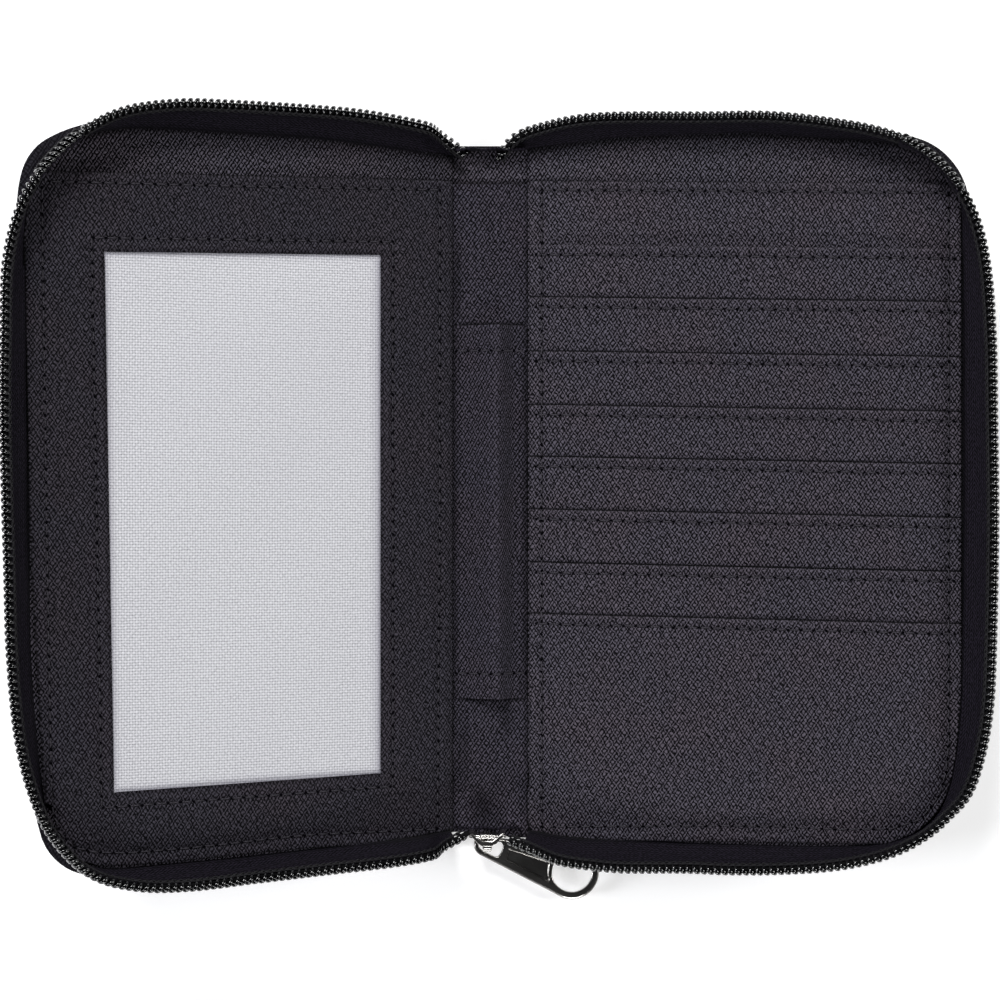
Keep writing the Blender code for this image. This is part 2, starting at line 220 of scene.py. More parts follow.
def dobby(name, ground, dot, gain=1.0, lean=0.0, relief=0.10, sheen=0.03):
    """Woven polyester with small raised floats in a diamond lattice: one every 1.69 mm along a
    row, rows 1.27 mm apart and staggered, over a finer plain weave. UV is in millimetres."""
    m = Nodes(name)
    uv, x, y = m.uv()
    wob = m.noise(uv, 0.09, 2.0)
    shake = m.noise(uv, 0.85, 1.0, 0.5)
    drift = (wob - 0.5) * 1.1 + (shake - 0.5) * 0.62
    kx = (x + drift) * (2 * math.pi / DOT_ACROSS)
    ky = (y + drift) * (2 * math.pi / DOT_ALONG)

    def wave(i, j, amount):
        return m.math("COSINE", kx * float(i)) * m.math("COSINE", ky * float(j)) * amount

    fine = m.noise(uv, 2.4, 2.0, 0.7)
    slub = m.noise(uv, 0.05, 4.0, 0.6)
    grit = m.noise(uv, 1.1, 1.0, 0.5)
    total = wave(2, 2, 0.56)
    for i, j, amount in ((3, 3, 0.38), (1, 3, -0.20), (1, 1, -0.12)):
        total = total + wave(i, j, amount)
    grip = m.noise(uv, 0.45, 2.0, 0.6)
    total = total * (grip * 1.5 + 0.25)
    total = total + ((fine - 0.5) * 1.9 + (grit - 0.5) * 1.1)
    if lean:
        total = total + m.math("COSINE", kx * 2.0 - ky * 2.0) * lean
    total = total * gain
    tone = m.ramp(total, -0.62, 1.15)
    cool = m.mix(m.ramp(slub, 0.35, 0.7), (0.90, 0.93, 1.0), (1.0, 0.94, 0.97))
    tint = m.mix(0.8, m.mix(tone, ground, dot), cool, "MULTIPLY")
    # lighter where each point asks: along edges and rims, and a painted highlight along the pen sleeve's
    # crest
    worn_and_highlit = m.mix(m.attribute("wear_and_highlight") * m.ramp(fine, 0.3, 0.8), tint, scaled(dot, 1.3))
    # painted shade: each point's shade value darkens the cloth towards near-black
    col = m.mix(m.attribute("painted_shade"), worn_and_highlit, PAINTED_SHADE_COLOR)
    return m.finish(col, 0.80 - tone * 0.25, m.bump(total, 0.6, relief * MM), Sheen_Weight=sheen,
                    Sheen_Roughness=0.45, Specular_IOR_Level=0.07)


RIB_PITCH, CHEVRON, PICK_PITCH = 0.95, 2.9, 0.62


def twill(name, ground, light):
    """Zip tape: narrow herringbone ribs. UV x runs along the tape and y across it."""
    m = Nodes(name)
    uv, x, y = m.uv()
    zig = m.math("ABSOLUTE", m.math("FRACT", m.math("DIVIDE", y, CHEVRON)) - 0.5)
    ribs = m.math("SINE", (x + zig * (1.5 * CHEVRON)) * (2 * math.pi / RIB_PITCH))
    picks = m.math("SINE", y * (2 * math.pi / PICK_PITCH))
    fine = m.noise(uv, 1.3, 2.0, 0.7)
    height = ribs * 0.5 + picks * 0.3
    level = height + (fine - 0.5) * 2.6
    col = m.mix(m.ramp(level, -0.9, 1.3), ground, light)
    # painted shade along the tape's seam
    col = m.mix(m.attribute("painted_shade"), col, (0.0015, 0.0014, 0.0022))
    return m.finish(col, 0.74, m.bump(height, 0.6, 0.10 * MM), Sheen_Weight=0.02,
                    Sheen_Roughness=0.5, Specular_IOR_Level=0.05)


YARN_PITCH = 0.585


def window_weave():
    """Light-grey plain-weave mesh: round yarns over and under, dark pin-holes between them."""
    m = Nodes("window_mesh_weave")
    uv, x, y = m.uv()
    bend = (m.noise(uv, 0.30, 2.0, 0.5) - 0.5) * 0.34
    sx = m.math("SINE", (x + bend) * (math.pi / YARN_PITCH))
    sy = m.math("SINE", (y + bend) * (math.pi / YARN_PITCH))
    warp, weft = m.math("ABSOLUTE", sx), m.math("ABSOLUTE", sy)
    check = sx * sy
    hole = (1.0 - m.math("POWER", warp, 0.8)) * (1.0 - m.math("POWER", weft, 0.8))
    fine = m.noise(uv, 1.6, 3.0, 0.65)
    cloud = m.noise(uv, 0.025, 3.0, 0.6)
    rows = warp * 0.30 + weft * 0.44
    level = rows + (check * 0.17 + (fine - 0.5) * 0.75)
    col = m.mix(m.ramp(level, -0.25, 0.90), (0.20, 0.20, 0.22), (0.74, 0.74, 0.775))
    col = m.mix(m.ramp(hole, 0.30, 1.0), col, (0.16, 0.16, 0.19))
    col = m.mix(m.ramp(cloud, 0.35, 0.7) * 0.10, col, (0.45, 0.44, 0.50))
    # painted shade at the window's edges and where the mesh lies under its frame
    col = m.mix(m.attribute("painted_shade"), col, (0.12, 0.11, 0.17))
    return m.finish(col, 0.6, m.bump((rows + check * 0.5) - hole, 0.5, 0.10 * MM), Sheen_Weight=0.05,
                    Sheen_Roughness=0.5, Specular_IOR_Level=0.3)


def nylon(name, color, rough, gloss=0.9, coat=0.5):
    m = Nodes(name)
    at = m.place()
    grain = m.noise(at, 2600.0, 2.0)
    col = m.mix(m.ramp(m.noise(at, 60.0, 2.0), 0.3, 0.75), color, scaled(color, 1.5, 0.004))
    return m.finish(col, grain * 0.08 + rough, m.bump(grain, 0.15, 0.02 * MM), Specular_IOR_Level=gloss,
                    Coat_Weight=coat, Coat_Roughness=0.04)


def thread(name, color):
    m = Nodes(name)
    at = m.place()
    twist = m.node("ShaderNodeTexWave", "Fac", [("Scale", 900.0), ("Distortion", 1.0), ("Vector", at)],
                   wave_type="BANDS", bands_direction="DIAGONAL")
    fibre = m.noise(at, 3200.0, 2.0)
    return m.finish(m.mix(twist, color, scaled(color, 2.2, 0.003)), fibre * 0.2 + 0.5,
                    m.bump(twist, 0.5, 0.06 * MM), Sheen_Weight=0.05, Specular_IOR_Level=0.25)


def plated(name, color, rough, scratch=0.08):
    """Dark nickel plate with faint casting ripple, fine scratches and a lighter colour on its sharp edges."""
    m = Nodes(name)
    at = m.place()
    waves = m.noise(at, 420.0, 3.0)
    speck = m.noise(at, 3500.0, 2.0)
    stretch = m.node("ShaderNodeMapping", 0, [("Vector", at)])
    stretch.socket.node.inputs["Scale"].default_value = (900.0, 5200.0, 900.0)
    lines = m.noise(stretch, 1.0, 2.0)
    # a lighter colour on sharp convex edges
    edge = m.ramp(m.node("ShaderNodeNewGeometry", "Pointiness"), 0.505, 0.56)
    base = m.mix(m.ramp(waves, 0.3, 0.75), color, tuple(min(1.0, 1.25 * c) for c in color))
    col = m.mix(edge * 0.6, base, (0.62, 0.60, 0.58))
    return m.finish(col, (lines * scratch + speck * 0.03) + rough, m.bump(waves, 0.10, 0.03 * MM),
                    Metallic=1.0)


def hole_shade(name):
    """Painted shade: the dark inside of a needle hole."""
    m = Nodes(name)
    deep = m.noise(m.uv()[0], 0.7)
    return m.finish(m.mix(deep, (0.0010, 0.0009, 0.0015), (0.0030, 0.0027, 0.0042)), 0.95,
                    Specular_IOR_Level=0.0)


def hidden_stock(name, low, high, rough, metal=0.0):
    m = Nodes(name)
    at = m.place()
    grain = m.noise(at, 700.0, 4.0, 0.7)
    cloud = m.noise(at, 40.0, 3.0)
    col = m.mix(m.ramp(grain * 0.6 + cloud * 0.5, 0.3, 0.8), low, high)
    return m.finish(col, grain * 0.1 + rough, m.bump(grain, 0.4, 0.05 * MM), Metallic=metal)


M_POCKET = dobby("pocket_dobby", (0.0008, 0.0006, 0.0014), (0.104, 0.093, 0.113), 1.6)
M_FRAME = dobby("window_frame_dobby", (0.0012, 0.0010, 0.0019), (0.064, 0.058, 0.071), 1.3)
M_LINING = dobby("lining_weave", (0.0006, 0.0005, 0.0012), (0.105, 0.095, 0.115), 1.9, 0.12, 0.16, 0.03)
M_SPINE = dobby("spine_fabric", (0.0009, 0.0007, 0.0016), (0.074, 0.066, 0.085), 1.7, 0.10, 0.14)
M_SHELL = dobby("shell_fabric", (0.0030, 0.0027, 0.0040), (0.026, 0.024, 0.031), 1.0)
M_TAPE = twill("zip_tape_twill", (0.0008, 0.0007, 0.0014), (0.019, 0.0155, 0.025))
M_MESH = window_weave()
M_COIL = nylon("coil_nylon", (0.0008, 0.0008, 0.0012), 0.05, 0.6, 0.55)
M_CORD = nylon("coil_filler", (0.0015, 0.0015, 0.0020), 0.75, 0.1, 0.0)
M_THREAD = thread("black_thread", (0.0022, 0.0020, 0.0030))
M_STITCH = thread("stitch_thread", (0.017, 0.015, 0.020))
M_HOLE = hole_shade("needle_hole_shade")
M_METAL = plated("dark_nickel", (0.50, 0.49, 0.475), 0.20, 0.06)
M_METAL_IN = plated("dark_nickel_recess", (0.16, 0.155, 0.155), 0.30)
M_BOARD = hidden_stock("pressed_board", (0.26, 0.23, 0.19), (0.45, 0.41, 0.35), 0.8)
M_FOIL = hidden_stock("shield_cloth", (0.45, 0.46, 0.48), (0.70, 0.71, 0.73), 0.35, 0.9)


# ------------------------------------------------------------------ mesh helpers
def step(t):
    t = np.clip(t, 0.0, 1.0)
    return t * t * (3.0 - 2.0 * t)


def bell(d, w):
    return np.exp(-(d / w) ** 2)


def fold_up(points, s, crossing=None):
    """Turn flat points (x, y, h) on side s about the fold axis to the cover's rest angle."""
    p = np.array(points, float)
    u = p[..., 0] * s
    w = 1.0 if crossing is None else step((u - crossing[0]) / (crossing[1] - crossing[0]))
    a = REST[s] * w
    du, h = u - AX, p[..., 2]
    out = p.copy()
    out[..., 0] = s * (AX + du * np.cos(a) - h * np.sin(a))
    out[..., 2] = AZ + du * np.sin(a) + h * np.cos(a)
    return out


def make_object(name, verts, faces, mat, smooth=True, uv=None, extra=None):
    me = bpy.data.meshes.new(name)
    me.from_pydata((np.array(verts, float) * MM).tolist(), [], faces)
    me.update()
    if uv is not None:
        layer = me.uv_layers.new(name="flat")
        index = np.zeros(len(me.loops), np.int32)
        me.loops.foreach_get("vertex_index", index)
        layer.data.foreach_set("uv", np.array(uv, np.float32)[index].ravel())
    for key, values in (extra or {}).items():
        att = me.attributes.new(key, "FLOAT", "POINT")
        att.data.foreach_set("value", np.array(values, np.float32).ravel())
    me.materials.append(mat)
    me.polygons.foreach_set("use_smooth", [smooth] * len(me.polygons))
    return placed(name, me)


def tube_faces(rings, sides, base=0):
    """Faces of a closed tube whose rings of vertices follow one another."""
    faces = []
    for i in range(rings - 1):
        a, b = base + i * sides, base + (i + 1) * sides
        faces += [[a + c, a + (c + 1) % sides, b + (c + 1) % sides, b + c] for c in range(sides)]
    first = list(range(base, base + sides))
    return faces + [first[::-1], [(rings - 1) * sides + k for k in first]]


def pipe(line, e1, e2, radius, sides, fat=1.0):
    """Vertices and faces of a tube round a line, fat times as thick along e2."""
    fat = np.broadcast_to(fat, len(line))[:, None]
    rings = []
    for c in range(sides):
        a = 2 * math.pi * c / sides
        rings.append(line + e1 * (radius * math.cos(a)) + e2 * (radius * math.sin(a) * fat))
    return np.stack(rings, 1).reshape(-1, 3), tube_faces(len(line), sides)


def unit(v):
    return v / np.maximum(np.linalg.norm(v, axis=1, keepdims=True), 1e-9)


def grid_sheet(name, P, thick, mat, s=None, crossing=None, uv=None, painted_shade=None, wear_and_highlight=None, keep=None):
    """A closed cloth sheet from a grid of flat points P[i, j] on its top side, with rounded rims.
    keep[i, j] says which cells are there, so that a sheet can have an opening."""
    P = np.array(P, float)
    n, m = P.shape[:2]
    flip = np.cross(P[-1, 0] - P[0, 0], P[0, -1] - P[0, 0])[2] < 0
    thick = np.broadcast_to(np.array(thick, float), (n, m))
    if keep is None:
        keep = np.ones((n - 1, m - 1), bool)
    gu = np.gradient(P, axis=0)
    gv = np.gradient(P, axis=1)
    nrm = np.cross(gu, gv)
    nrm /= np.maximum(np.linalg.norm(nrm, axis=2, keepdims=True), 1e-9)
    if flip:
        nrm = -nrm
    top = P.reshape(-1, 3)
    low = (P - nrm * thick[..., None]).reshape(-1, 3)
    idx = np.arange(n * m).reshape(n, m)
    faces, count = [], n * m
    for i, j in np.argwhere(keep):
        q = [idx[i, j], idx[i + 1, j], idx[i + 1, j + 1], idx[i, j + 1]]
        if flip:
            q.reverse()
        faces.append([int(k) for k in q])
    # boundary edges, walked with the cell on their left
    edges = {edge: True for f in faces for edge in zip(f, f[1:] + f[:1])}
    rim = [(a, b) for (a, b) in edges if (b, a) not in edges]
    faces += [[k + count for k in reversed(f)] for f in faces]
    outward = {}
    for a, b in rim:
        d = top[b] - top[a]
        o = np.cross(d, nrm.reshape(-1, 3)[a])
        o /= max(np.linalg.norm(o), 1e-9)
        for k in (a, b):
            outward[k] = outward.get(k, 0) + o
    mid, where = [], {}
    for k, o in outward.items():
        o = o / max(np.linalg.norm(o), 1e-9)
        where[k] = 2 * count + len(mid)
        mid.append((top[k] + low[k]) / 2 + o * thick.reshape(-1)[k] * 0.5)
    for a, b in rim:
        faces.append([b, a, where[a], where[b]])
        faces.append([where[b], where[a], a + count, b + count])
    verts = np.concatenate([top, low, np.array(mid)])
    UV = (P[..., :2] if uv is None else np.array(uv, float)).reshape(-1, 2)
    UV = np.concatenate([UV, UV, np.array([UV[k] for k in outward])])

    def spread(a, rim_value=-1.0):
        a = np.zeros(count) if a is None else np.broadcast_to(a, (n, m)).reshape(-1)
        return np.concatenate([a, a, np.array([max(a[k], rim_value) for k in outward])])

    used = sorted({k for f in faces for k in f})
    back = {k: i for i, k in enumerate(used)}
    faces = [[back[k] for k in f] for f in faces]
    verts, UV = verts[used], UV[used]
    # each point carries its painted shade and its lightening; rims get a little of the lightening
    extra = {"painted_shade": spread(painted_shade)[used], "wear_and_highlight": spread(wear_and_highlight, 0.10)[used]}
    if s is not None:
        verts = fold_up(verts, s, crossing)
    return make_object(name, verts, faces, mat, True, UV, extra)


def line_points(low, high, spacing, fine=()):
    """Coordinates from low to high, closer together near each (centre, reach, spacing)."""
    out, x = [low], low
    while x < high - 1e-6:
        d = spacing
        for c, reach, close in fine:
            near = abs(x - c)
            if near < reach:
                d = min(d, close)
            elif near - reach < spacing and c > x:
                d = min(d, max(close, near - reach))
        x = min(high, x + d)
        out.append(x)
    if len(out) > 2 and out[-1] - out[-2] < 0.3 * spacing:
        out.pop(-2)
    return np.array(out)


def catmull(points, per):
    p = np.array(points, float)
    p = np.vstack([2 * p[0] - p[1], p, 2 * p[-1] - p[-2]])
    out = []
    for i in range(1, len(p) - 2):
        for k in range(per):
            t = k / per
            a, b, c, d = p[i - 1], p[i], p[i + 1], p[i + 2]
            out.append(0.5 * ((2 * b) + (c - a) * t + (2 * a - 5 * b + 4 * c - d) * t * t
                              + (3 * b - a - 3 * c + d) * t ** 3))
    out.append(p[-2])
    return np.array(out)


def resample(points, spacing):
    p = np.array(points, float)
    d = np.r_[0, np.cumsum(np.linalg.norm(np.diff(p, axis=0), axis=1))]
    n = max(2, int(round(d[-1] / spacing)) + 1)
    at = np.linspace(0, d[-1], n)
    return np.stack([np.interp(at, d, p[:, k]) for k in range(p.shape[1])], 1), at


STITCH, STITCH_GAP, THREAD, PROUD = 2.75, 0.50, 0.15, 0.16      # length, gap, radius, height over cloth
HOLE_LONG, HOLE_WIDE = 0.34, 0.26
CAPSULE = ((0.0, 0.35, 0.30), (0.12, 0.85, 0.10), (0.32, 1.0, 0.0), (0.68, 1.0, 0.0),
           (0.88, 0.85, 0.10), (1.0, 0.35, 0.30))               # place along, share of radius, sunk by
HEX = [(math.cos(math.pi * 2 * c / 6), math.sin(math.pi * 2 * c / 6)) for c in range(6)]


def stitch_run(path, surface):
    """Thread stitches along a flat path: rounded capsules with sunk ends, and dark discs
    between them, painted shade for the needle holes."""
    p, at = resample(path, 0.25)
    total = at[-1]
    n = max(1, int(round(total / STITCH)))
    verts, faces = [], []

    def spot(q):
        q = min(max(q, 0.0), total)
        x, y = np.interp(q, at, p[:, 0]), np.interp(q, at, p[:, 1])
        a, b = max(q - 0.2, 0.0), min(q + 0.2, total)
        d = np.array([np.interp(b, at, p[:, 0]) - np.interp(a, at, p[:, 0]),
                      np.interp(b, at, p[:, 1]) - np.interp(a, at, p[:, 1])])
        return x, y, d / max(np.linalg.norm(d), 1e-9)

    for k in range(n):
        a, b = total * k / n + STITCH_GAP / 2, total * (k + 1) / n - STITCH_GAP / 2
        faces += tube_faces(len(CAPSULE), 6, len(verts))
        for t, r, sink in CAPSULE:
            x, y, d = spot(a + (b - a) * t)
            z = surface(x, y) - sink + PROUD
            for c, sn in HEX:
                off = r * THREAD * c
                verts.append((x - d[1] * off, y + d[0] * off, z + r * THREAD * 0.8 * sn))
    tone = [0] * len(faces)
    # each needle hole is a dark disc: painted shade
    for k in range(n + 1):
        x, y, d = spot(total * k / n)
        z = surface(x, y) + PROUD
        ids = [len(verts) + c for c in range(8)]
        for c, sn in HEX:
            e = (HOLE_LONG * c, HOLE_WIDE * sn)
            verts.append((x + d[0] * e[0] - d[1] * e[1], y + d[1] * e[0] + d[0] * e[1], z + 0.10))
        verts += [(x, y, z + 0.24), (x, y, z - 0.3)]
        for c in range(6):
            faces.append([ids[c], ids[(c + 1) % 6], ids[6]])
            faces.append([ids[(c + 1) % 6], ids[c], ids[7]])
    tone += [1] * (len(faces) - len(tone))
    return np.array(verts), faces, tone


def stitches(name, runs, s=None, crossing=None):
    """All the stitch runs of one piece, as one object. Each run is (path, surface)."""
    allv, allf, tones, base = [], [], [], 0
    for path, surface in runs:
        v, f, t = stitch_run(path, surface)
        allv.append(v)
        allf += [[k + base for k in q] for q in f]
        tones += t
        base += len(v)
    verts = np.concatenate(allv)
    if s is not None:
        verts = fold_up(verts, s, crossing)
    ob = make_object(name, verts, allf, M_STITCH)
    ob.data.materials.append(M_HOLE)
    ob.data.polygons.foreach_set("material_index", tones)
    return ob


def distance_to_path(x, y, path):
    """Distance from each point to a polyline."""
    best = np.full(np.shape(x), 1e9)
    for (x0, y0), (x1, y1) in zip(path[:-1], path[1:]):
        dx, dy = x1 - x0, y1 - y0
        t = np.clip(((x - x0) * dx + (y - y0) * dy) / max(dx * dx + dy * dy, 1e-9), 0, 1)
        best = np.minimum(best, np.hypot(x - x0 - t * dx, y - y0 - t * dy))
    return best


def ripple(x, y, seed, size=1.0):
    """Slow uneven waviness of cloth, from a few fixed sines."""
    rng = np.random.RandomState(seed)
    out = 0.0
    for k in range(6):
        wx, wy = rng.uniform(-0.16, 0.16, 2)
        out = out + math.pow(0.8, k) * np.sin(x * wx + y * wy + rng.uniform(0, 6.28))
    return size * out / 3.0


CROSS_CLOTH = (6.8, 10.0)        # where cloth beside the spine bends
CROSS_ZIP = (8.0, 17.0)          # where tape and coil bend


def blend_cloth(ob):
    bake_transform(ob)


def blend_zip(ob):
    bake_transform(ob)


# ------------------------------------------------------------------ outlines, lying flat
TOP_EDGE = {-1: [(0, 74.6), (9, 74.6), (24, 76.2), (41, 77.2), (75, 77.4), (84, 76.8), (89.7, 75.5),
                 (95.2, 73.4), (99.6, 70.5), (102.5, 65.9), (103.8, 58.5), (104.0, 45.0), (104.1, 20.0)],
            1: [(0, 74.6), (9, 74.6), (24, 76.4), (41, 77.3), (76, 77.6), (85, 77.2), (91.6, 76.1),
                (96.0, 74.3), (99.5, 71.4), (102.3, 67.2), (103.8, 61.5), (104.3, 50.0), (104.5, 25.0)]}
LOW_EDGE = {-1: [(0, -75.2), (9, -75.4), (24, -77.2), (41, -79.2), (75, -80.7), (85, -80.9),
                 (91.2, -79.6), (95.0, -77.4), (98.0, -73.6), (99.8, -67.6), (101.8, -55.0),
                 (103.3, -35.0), (104.1, -5.0)],
            1: [(0, -75.2), (9, -75.4), (24, -77.4), (41, -78.8), (75, -79.2), (85, -78.4), (92.0, -76.2),
                (96.0, -73.4), (99.4, -69.0), (101.6, -62.5), (103.0, -50.0), (104.0, -30.0),
                (104.5, -5.0)]}
EDGE = {}
for s in (-1, 1):
    for key, table in (("top", TOP_EDGE), ("low", LOW_EDGE)):
        EDGE[s, key] = catmull(table[s], 10)
OUTER = {-1: 104.1, 1: 104.5}


def edge_top(u, s=-1):
    return np.interp(u, EDGE[s, "top"][:, 0], EDGE[s, "top"][:, 1])


def edge_low(u, s=-1):
    return np.interp(u, EDGE[s, "low"][:, 0], EDGE[s, "low"][:, 1])


ROUND_FROM = 84.0                 # where the outer corners begin


# ------------------------------------------------------------------ outer shells
def outer_shell(s):
    """Padded outer cover from the spine's centre line to the free edge, closed round its rim."""
    corner = ROUND_FROM + (OUTER[s] - ROUND_FROM) * np.sin(np.linspace(0, math.pi / 2, 26))
    us = np.concatenate([np.arange(0.0, ROUND_FROM, 2.4), corner])
    vs = np.linspace(-1, 1, 73)
    vs = np.sign(vs) * (1 - (1 - np.abs(vs)) ** 1.35)
    U = np.repeat(us[:, None], len(vs), 1)
    lo, hi = edge_low(U, s), edge_top(U, s)
    Y = (hi + lo) / 2 + (hi - lo) / 2 * vs[None, :]
    loop = [tuple(p) for p in EDGE[s, "top"][::3]] + [tuple(p) for p in EDGE[s, "low"][::-3]]
    out_d = distance_to_path(U, Y, loop)
    rim = np.clip(out_d / 3.2, 0, 1)
    spine = step((U - 6.0) / 5.0)
    base = -AZ + 1.75 * (1 - np.sqrt(1 - (1 - rim) ** 2))
    pad = step(out_d / 9.0)
    groove = bell(U - 9.0, 1.3) * 0.45
    base = base + groove + ripple(U, Y, 5 + s, 0.10) * pad
    base = np.maximum(base, -AZ + 0.02)
    low = np.stack([s * U, Y, base], 2)
    head = -0.35 - 1.3 * (1 - spine) - 0.85 * (1 - step(out_d / 1.6))
    top = np.stack([s * U, Y, head], 2)
    n, m = U.shape
    idx = np.arange(n * m).reshape(n, m)
    faces = []
    for i in range(n - 1):
        for j in range(m - 1):
            q = [int(idx[i, j]), int(idx[i + 1, j]), int(idx[i + 1, j + 1]), int(idx[i, j + 1])]
            up = q if s > 0 else q[::-1]
            faces.append(up)
            faces.append([k + n * m for k in up[::-1]])
    loop = ([int(k) for k in idx[:, 0]] + [int(k) for k in idx[-1, 1:]]
            + [int(k) for k in idx[::-1, -1][1:]] + [int(k) for k in idx[0, ::-1][1:]])
    ring = loop[:-1]
    flat = np.concatenate([top.reshape(-1, 3), low.reshape(-1, 3)])
    for a, b in zip(ring, ring[1:] + ring[:1]):
        q = [b, a, a + n * m, b + n * m]
        faces.append(q if s > 0 else q[::-1])
    uv = flat[:, :2].copy()
    # lighter towards the rim on the outer face
    wear_and_highlight = np.concatenate([np.zeros(n * m), (1 - rim).reshape(-1) * 0.35])
    # painted shade along a line inside the rim on the outer face
    seam = bell(out_d - 4.6, 0.7).reshape(-1) * 0.55
    verts = fold_up(flat, s, CROSS_CLOTH)
    ob = make_object(SIDE[s] + "_outer_shell_cloth", verts, faces, M_SHELL, True, uv,
                     {"painted_shade": np.concatenate([np.zeros(n * m), seam]), "wear_and_highlight": wear_and_highlight})
    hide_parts(SIDE[s] + "_outer_shell", SIDE[s] + "_foam_padding")
    if s > 0:
        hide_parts("spine_shell", "spine_padding")
    blend_cloth(ob)


for s in (-1, 1):
    outer_shell(s)


# ------------------------------------------------------------------ back linings
def lining(s):
    us = np.concatenate([np.linspace(8.4, 86.0, 60), 86.0 + 15.4 * np.sin(np.linspace(0.1, math.pi / 2, 12))])
    vs = np.concatenate([np.linspace(0, 0.9, 56), np.linspace(0.9025, 1, 40)])
    U = np.repeat(us[:, None], len(vs), 1)
    out = np.minimum(U + 1.6, OUTER[s] - 0.5)
    lo, hi = edge_low(out, s), edge_top(out, s)
    margin = 1.7 if s < 0 else 0.2 + 1.5 * step((U - 50.0) / 35.0)
    lo, hi = lo + 1.7, hi - margin
    Y = lo + (hi - lo) * vs[None, :]
    H = 0.05 + ripple(U, Y, 31 + s, 0.10)
    H = H - 0.25 * bell(hi - Y, 1.2)
    P = np.stack([s * U, Y, H], 2)
    shade = 0.8 * bell(hi - Y - 0.4, 0.9)
    shade = np.maximum(shade, 0.75 * bell(Y - 67.4 + 0.029 * (U - 10.0), 0.45))   # under the pocket's edge
    if s < 0:                          # the crease that runs down from the zip into the spine
        shade = np.maximum(shade, 0.9 * bell(9.6 - U - 0.71 * (74.2 - Y), 1.2))
    ob = grid_sheet(SIDE[s] + "_back_lining_cloth", P, 0.3, M_LINING, s, CROSS_CLOTH, painted_shade=shade)
    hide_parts(SIDE[s] + "_back_lining")
    blend_cloth(ob)


for s in (-1, 1):
    lining(s)

# ------------------------------------------------------------------ left pocket with its window
WIN_IN, WIN_OUT = 25.1, 85.5
SLOPE = 0.026


def lean_y(u, y):
    return y - SLOPE * (u - 25.0)


def win_u(u, y):
    """The window's outer side leans in a little towards its bottom corner."""
    return u + 1.1 * np.clip((u - 25.0) / 60.0, 0, 1) * (y / 60.0)


W_TOP, W_LOW = 50.75, -61.6
F_TOP, F_LOW = 66.6, -75.6
ST_IN, ST_OUT = 11.7, 98.6


def frame_height(x, y):
    u = np.abs(x)
    h = 1.35 + ripple(u, y, 11, 0.12)
    h = h - 0.55 * step((u - 96.0) / 6.0) - 0.35 * step((11.5 - u) / 3.0)
    h = h - 0.55 * step((-70.0 - y) / 7.0) + 0.25 * bell(y - (lean_y(u, F_TOP) - 2.0), 4.0)
    for path in FRAME_STITCHES:
        d = distance_to_path(u, y, path)
        h = h - 0.26 * bell(d, 0.75) + 0.07 * bell(d - 2.2, 1.2)
    return h


def lean_path(points):
    return [(win_u(u, y), lean_y(u, y)) for u, y in points]


WIN_STITCH = lean_path([(22.6, 53.4), (88.0, 53.4), (88.0, -64.4), (22.6, -64.4), (22.6, 53.4)])
SIDE_IN = [(ST_IN, 65.0), (ST_IN, -2.0), (ST_IN + 0.5, -74.0)]
SIDE_OUT = [(99.3, 61.6), (98.4, -2.0), (97.4, -60.0), (97.0, -66.4), (95.4, -71.0), (92.4, -74.0)]
BASE_LINE = [(92.4, -74.0), (88.0, -75.2), (81.5, -75.7), (69.0, -75.4), (58.9, -74.9), (48.2, -74.2),
             (39.7, -73.9), (ST_IN + 0.5, -74.2)]
TOP_LINE = [(ST_IN, 65.2), (55.0, 63.9), (97.8, 62.9)]
FRAME_STITCHES = [WIN_STITCH, SIDE_IN, SIDE_OUT, BASE_LINE, TOP_LINE]


FRAME_LOW = [(8.9, -75.9), (14.0, -76.4), (40.0, -76.6), (56.7, -77.2), (67.7, -77.7), (78.5, -78.1),
             (86.9, -78.0), (92.0, -76.4), (97.0, -72.6), (99.5, -67.0)]


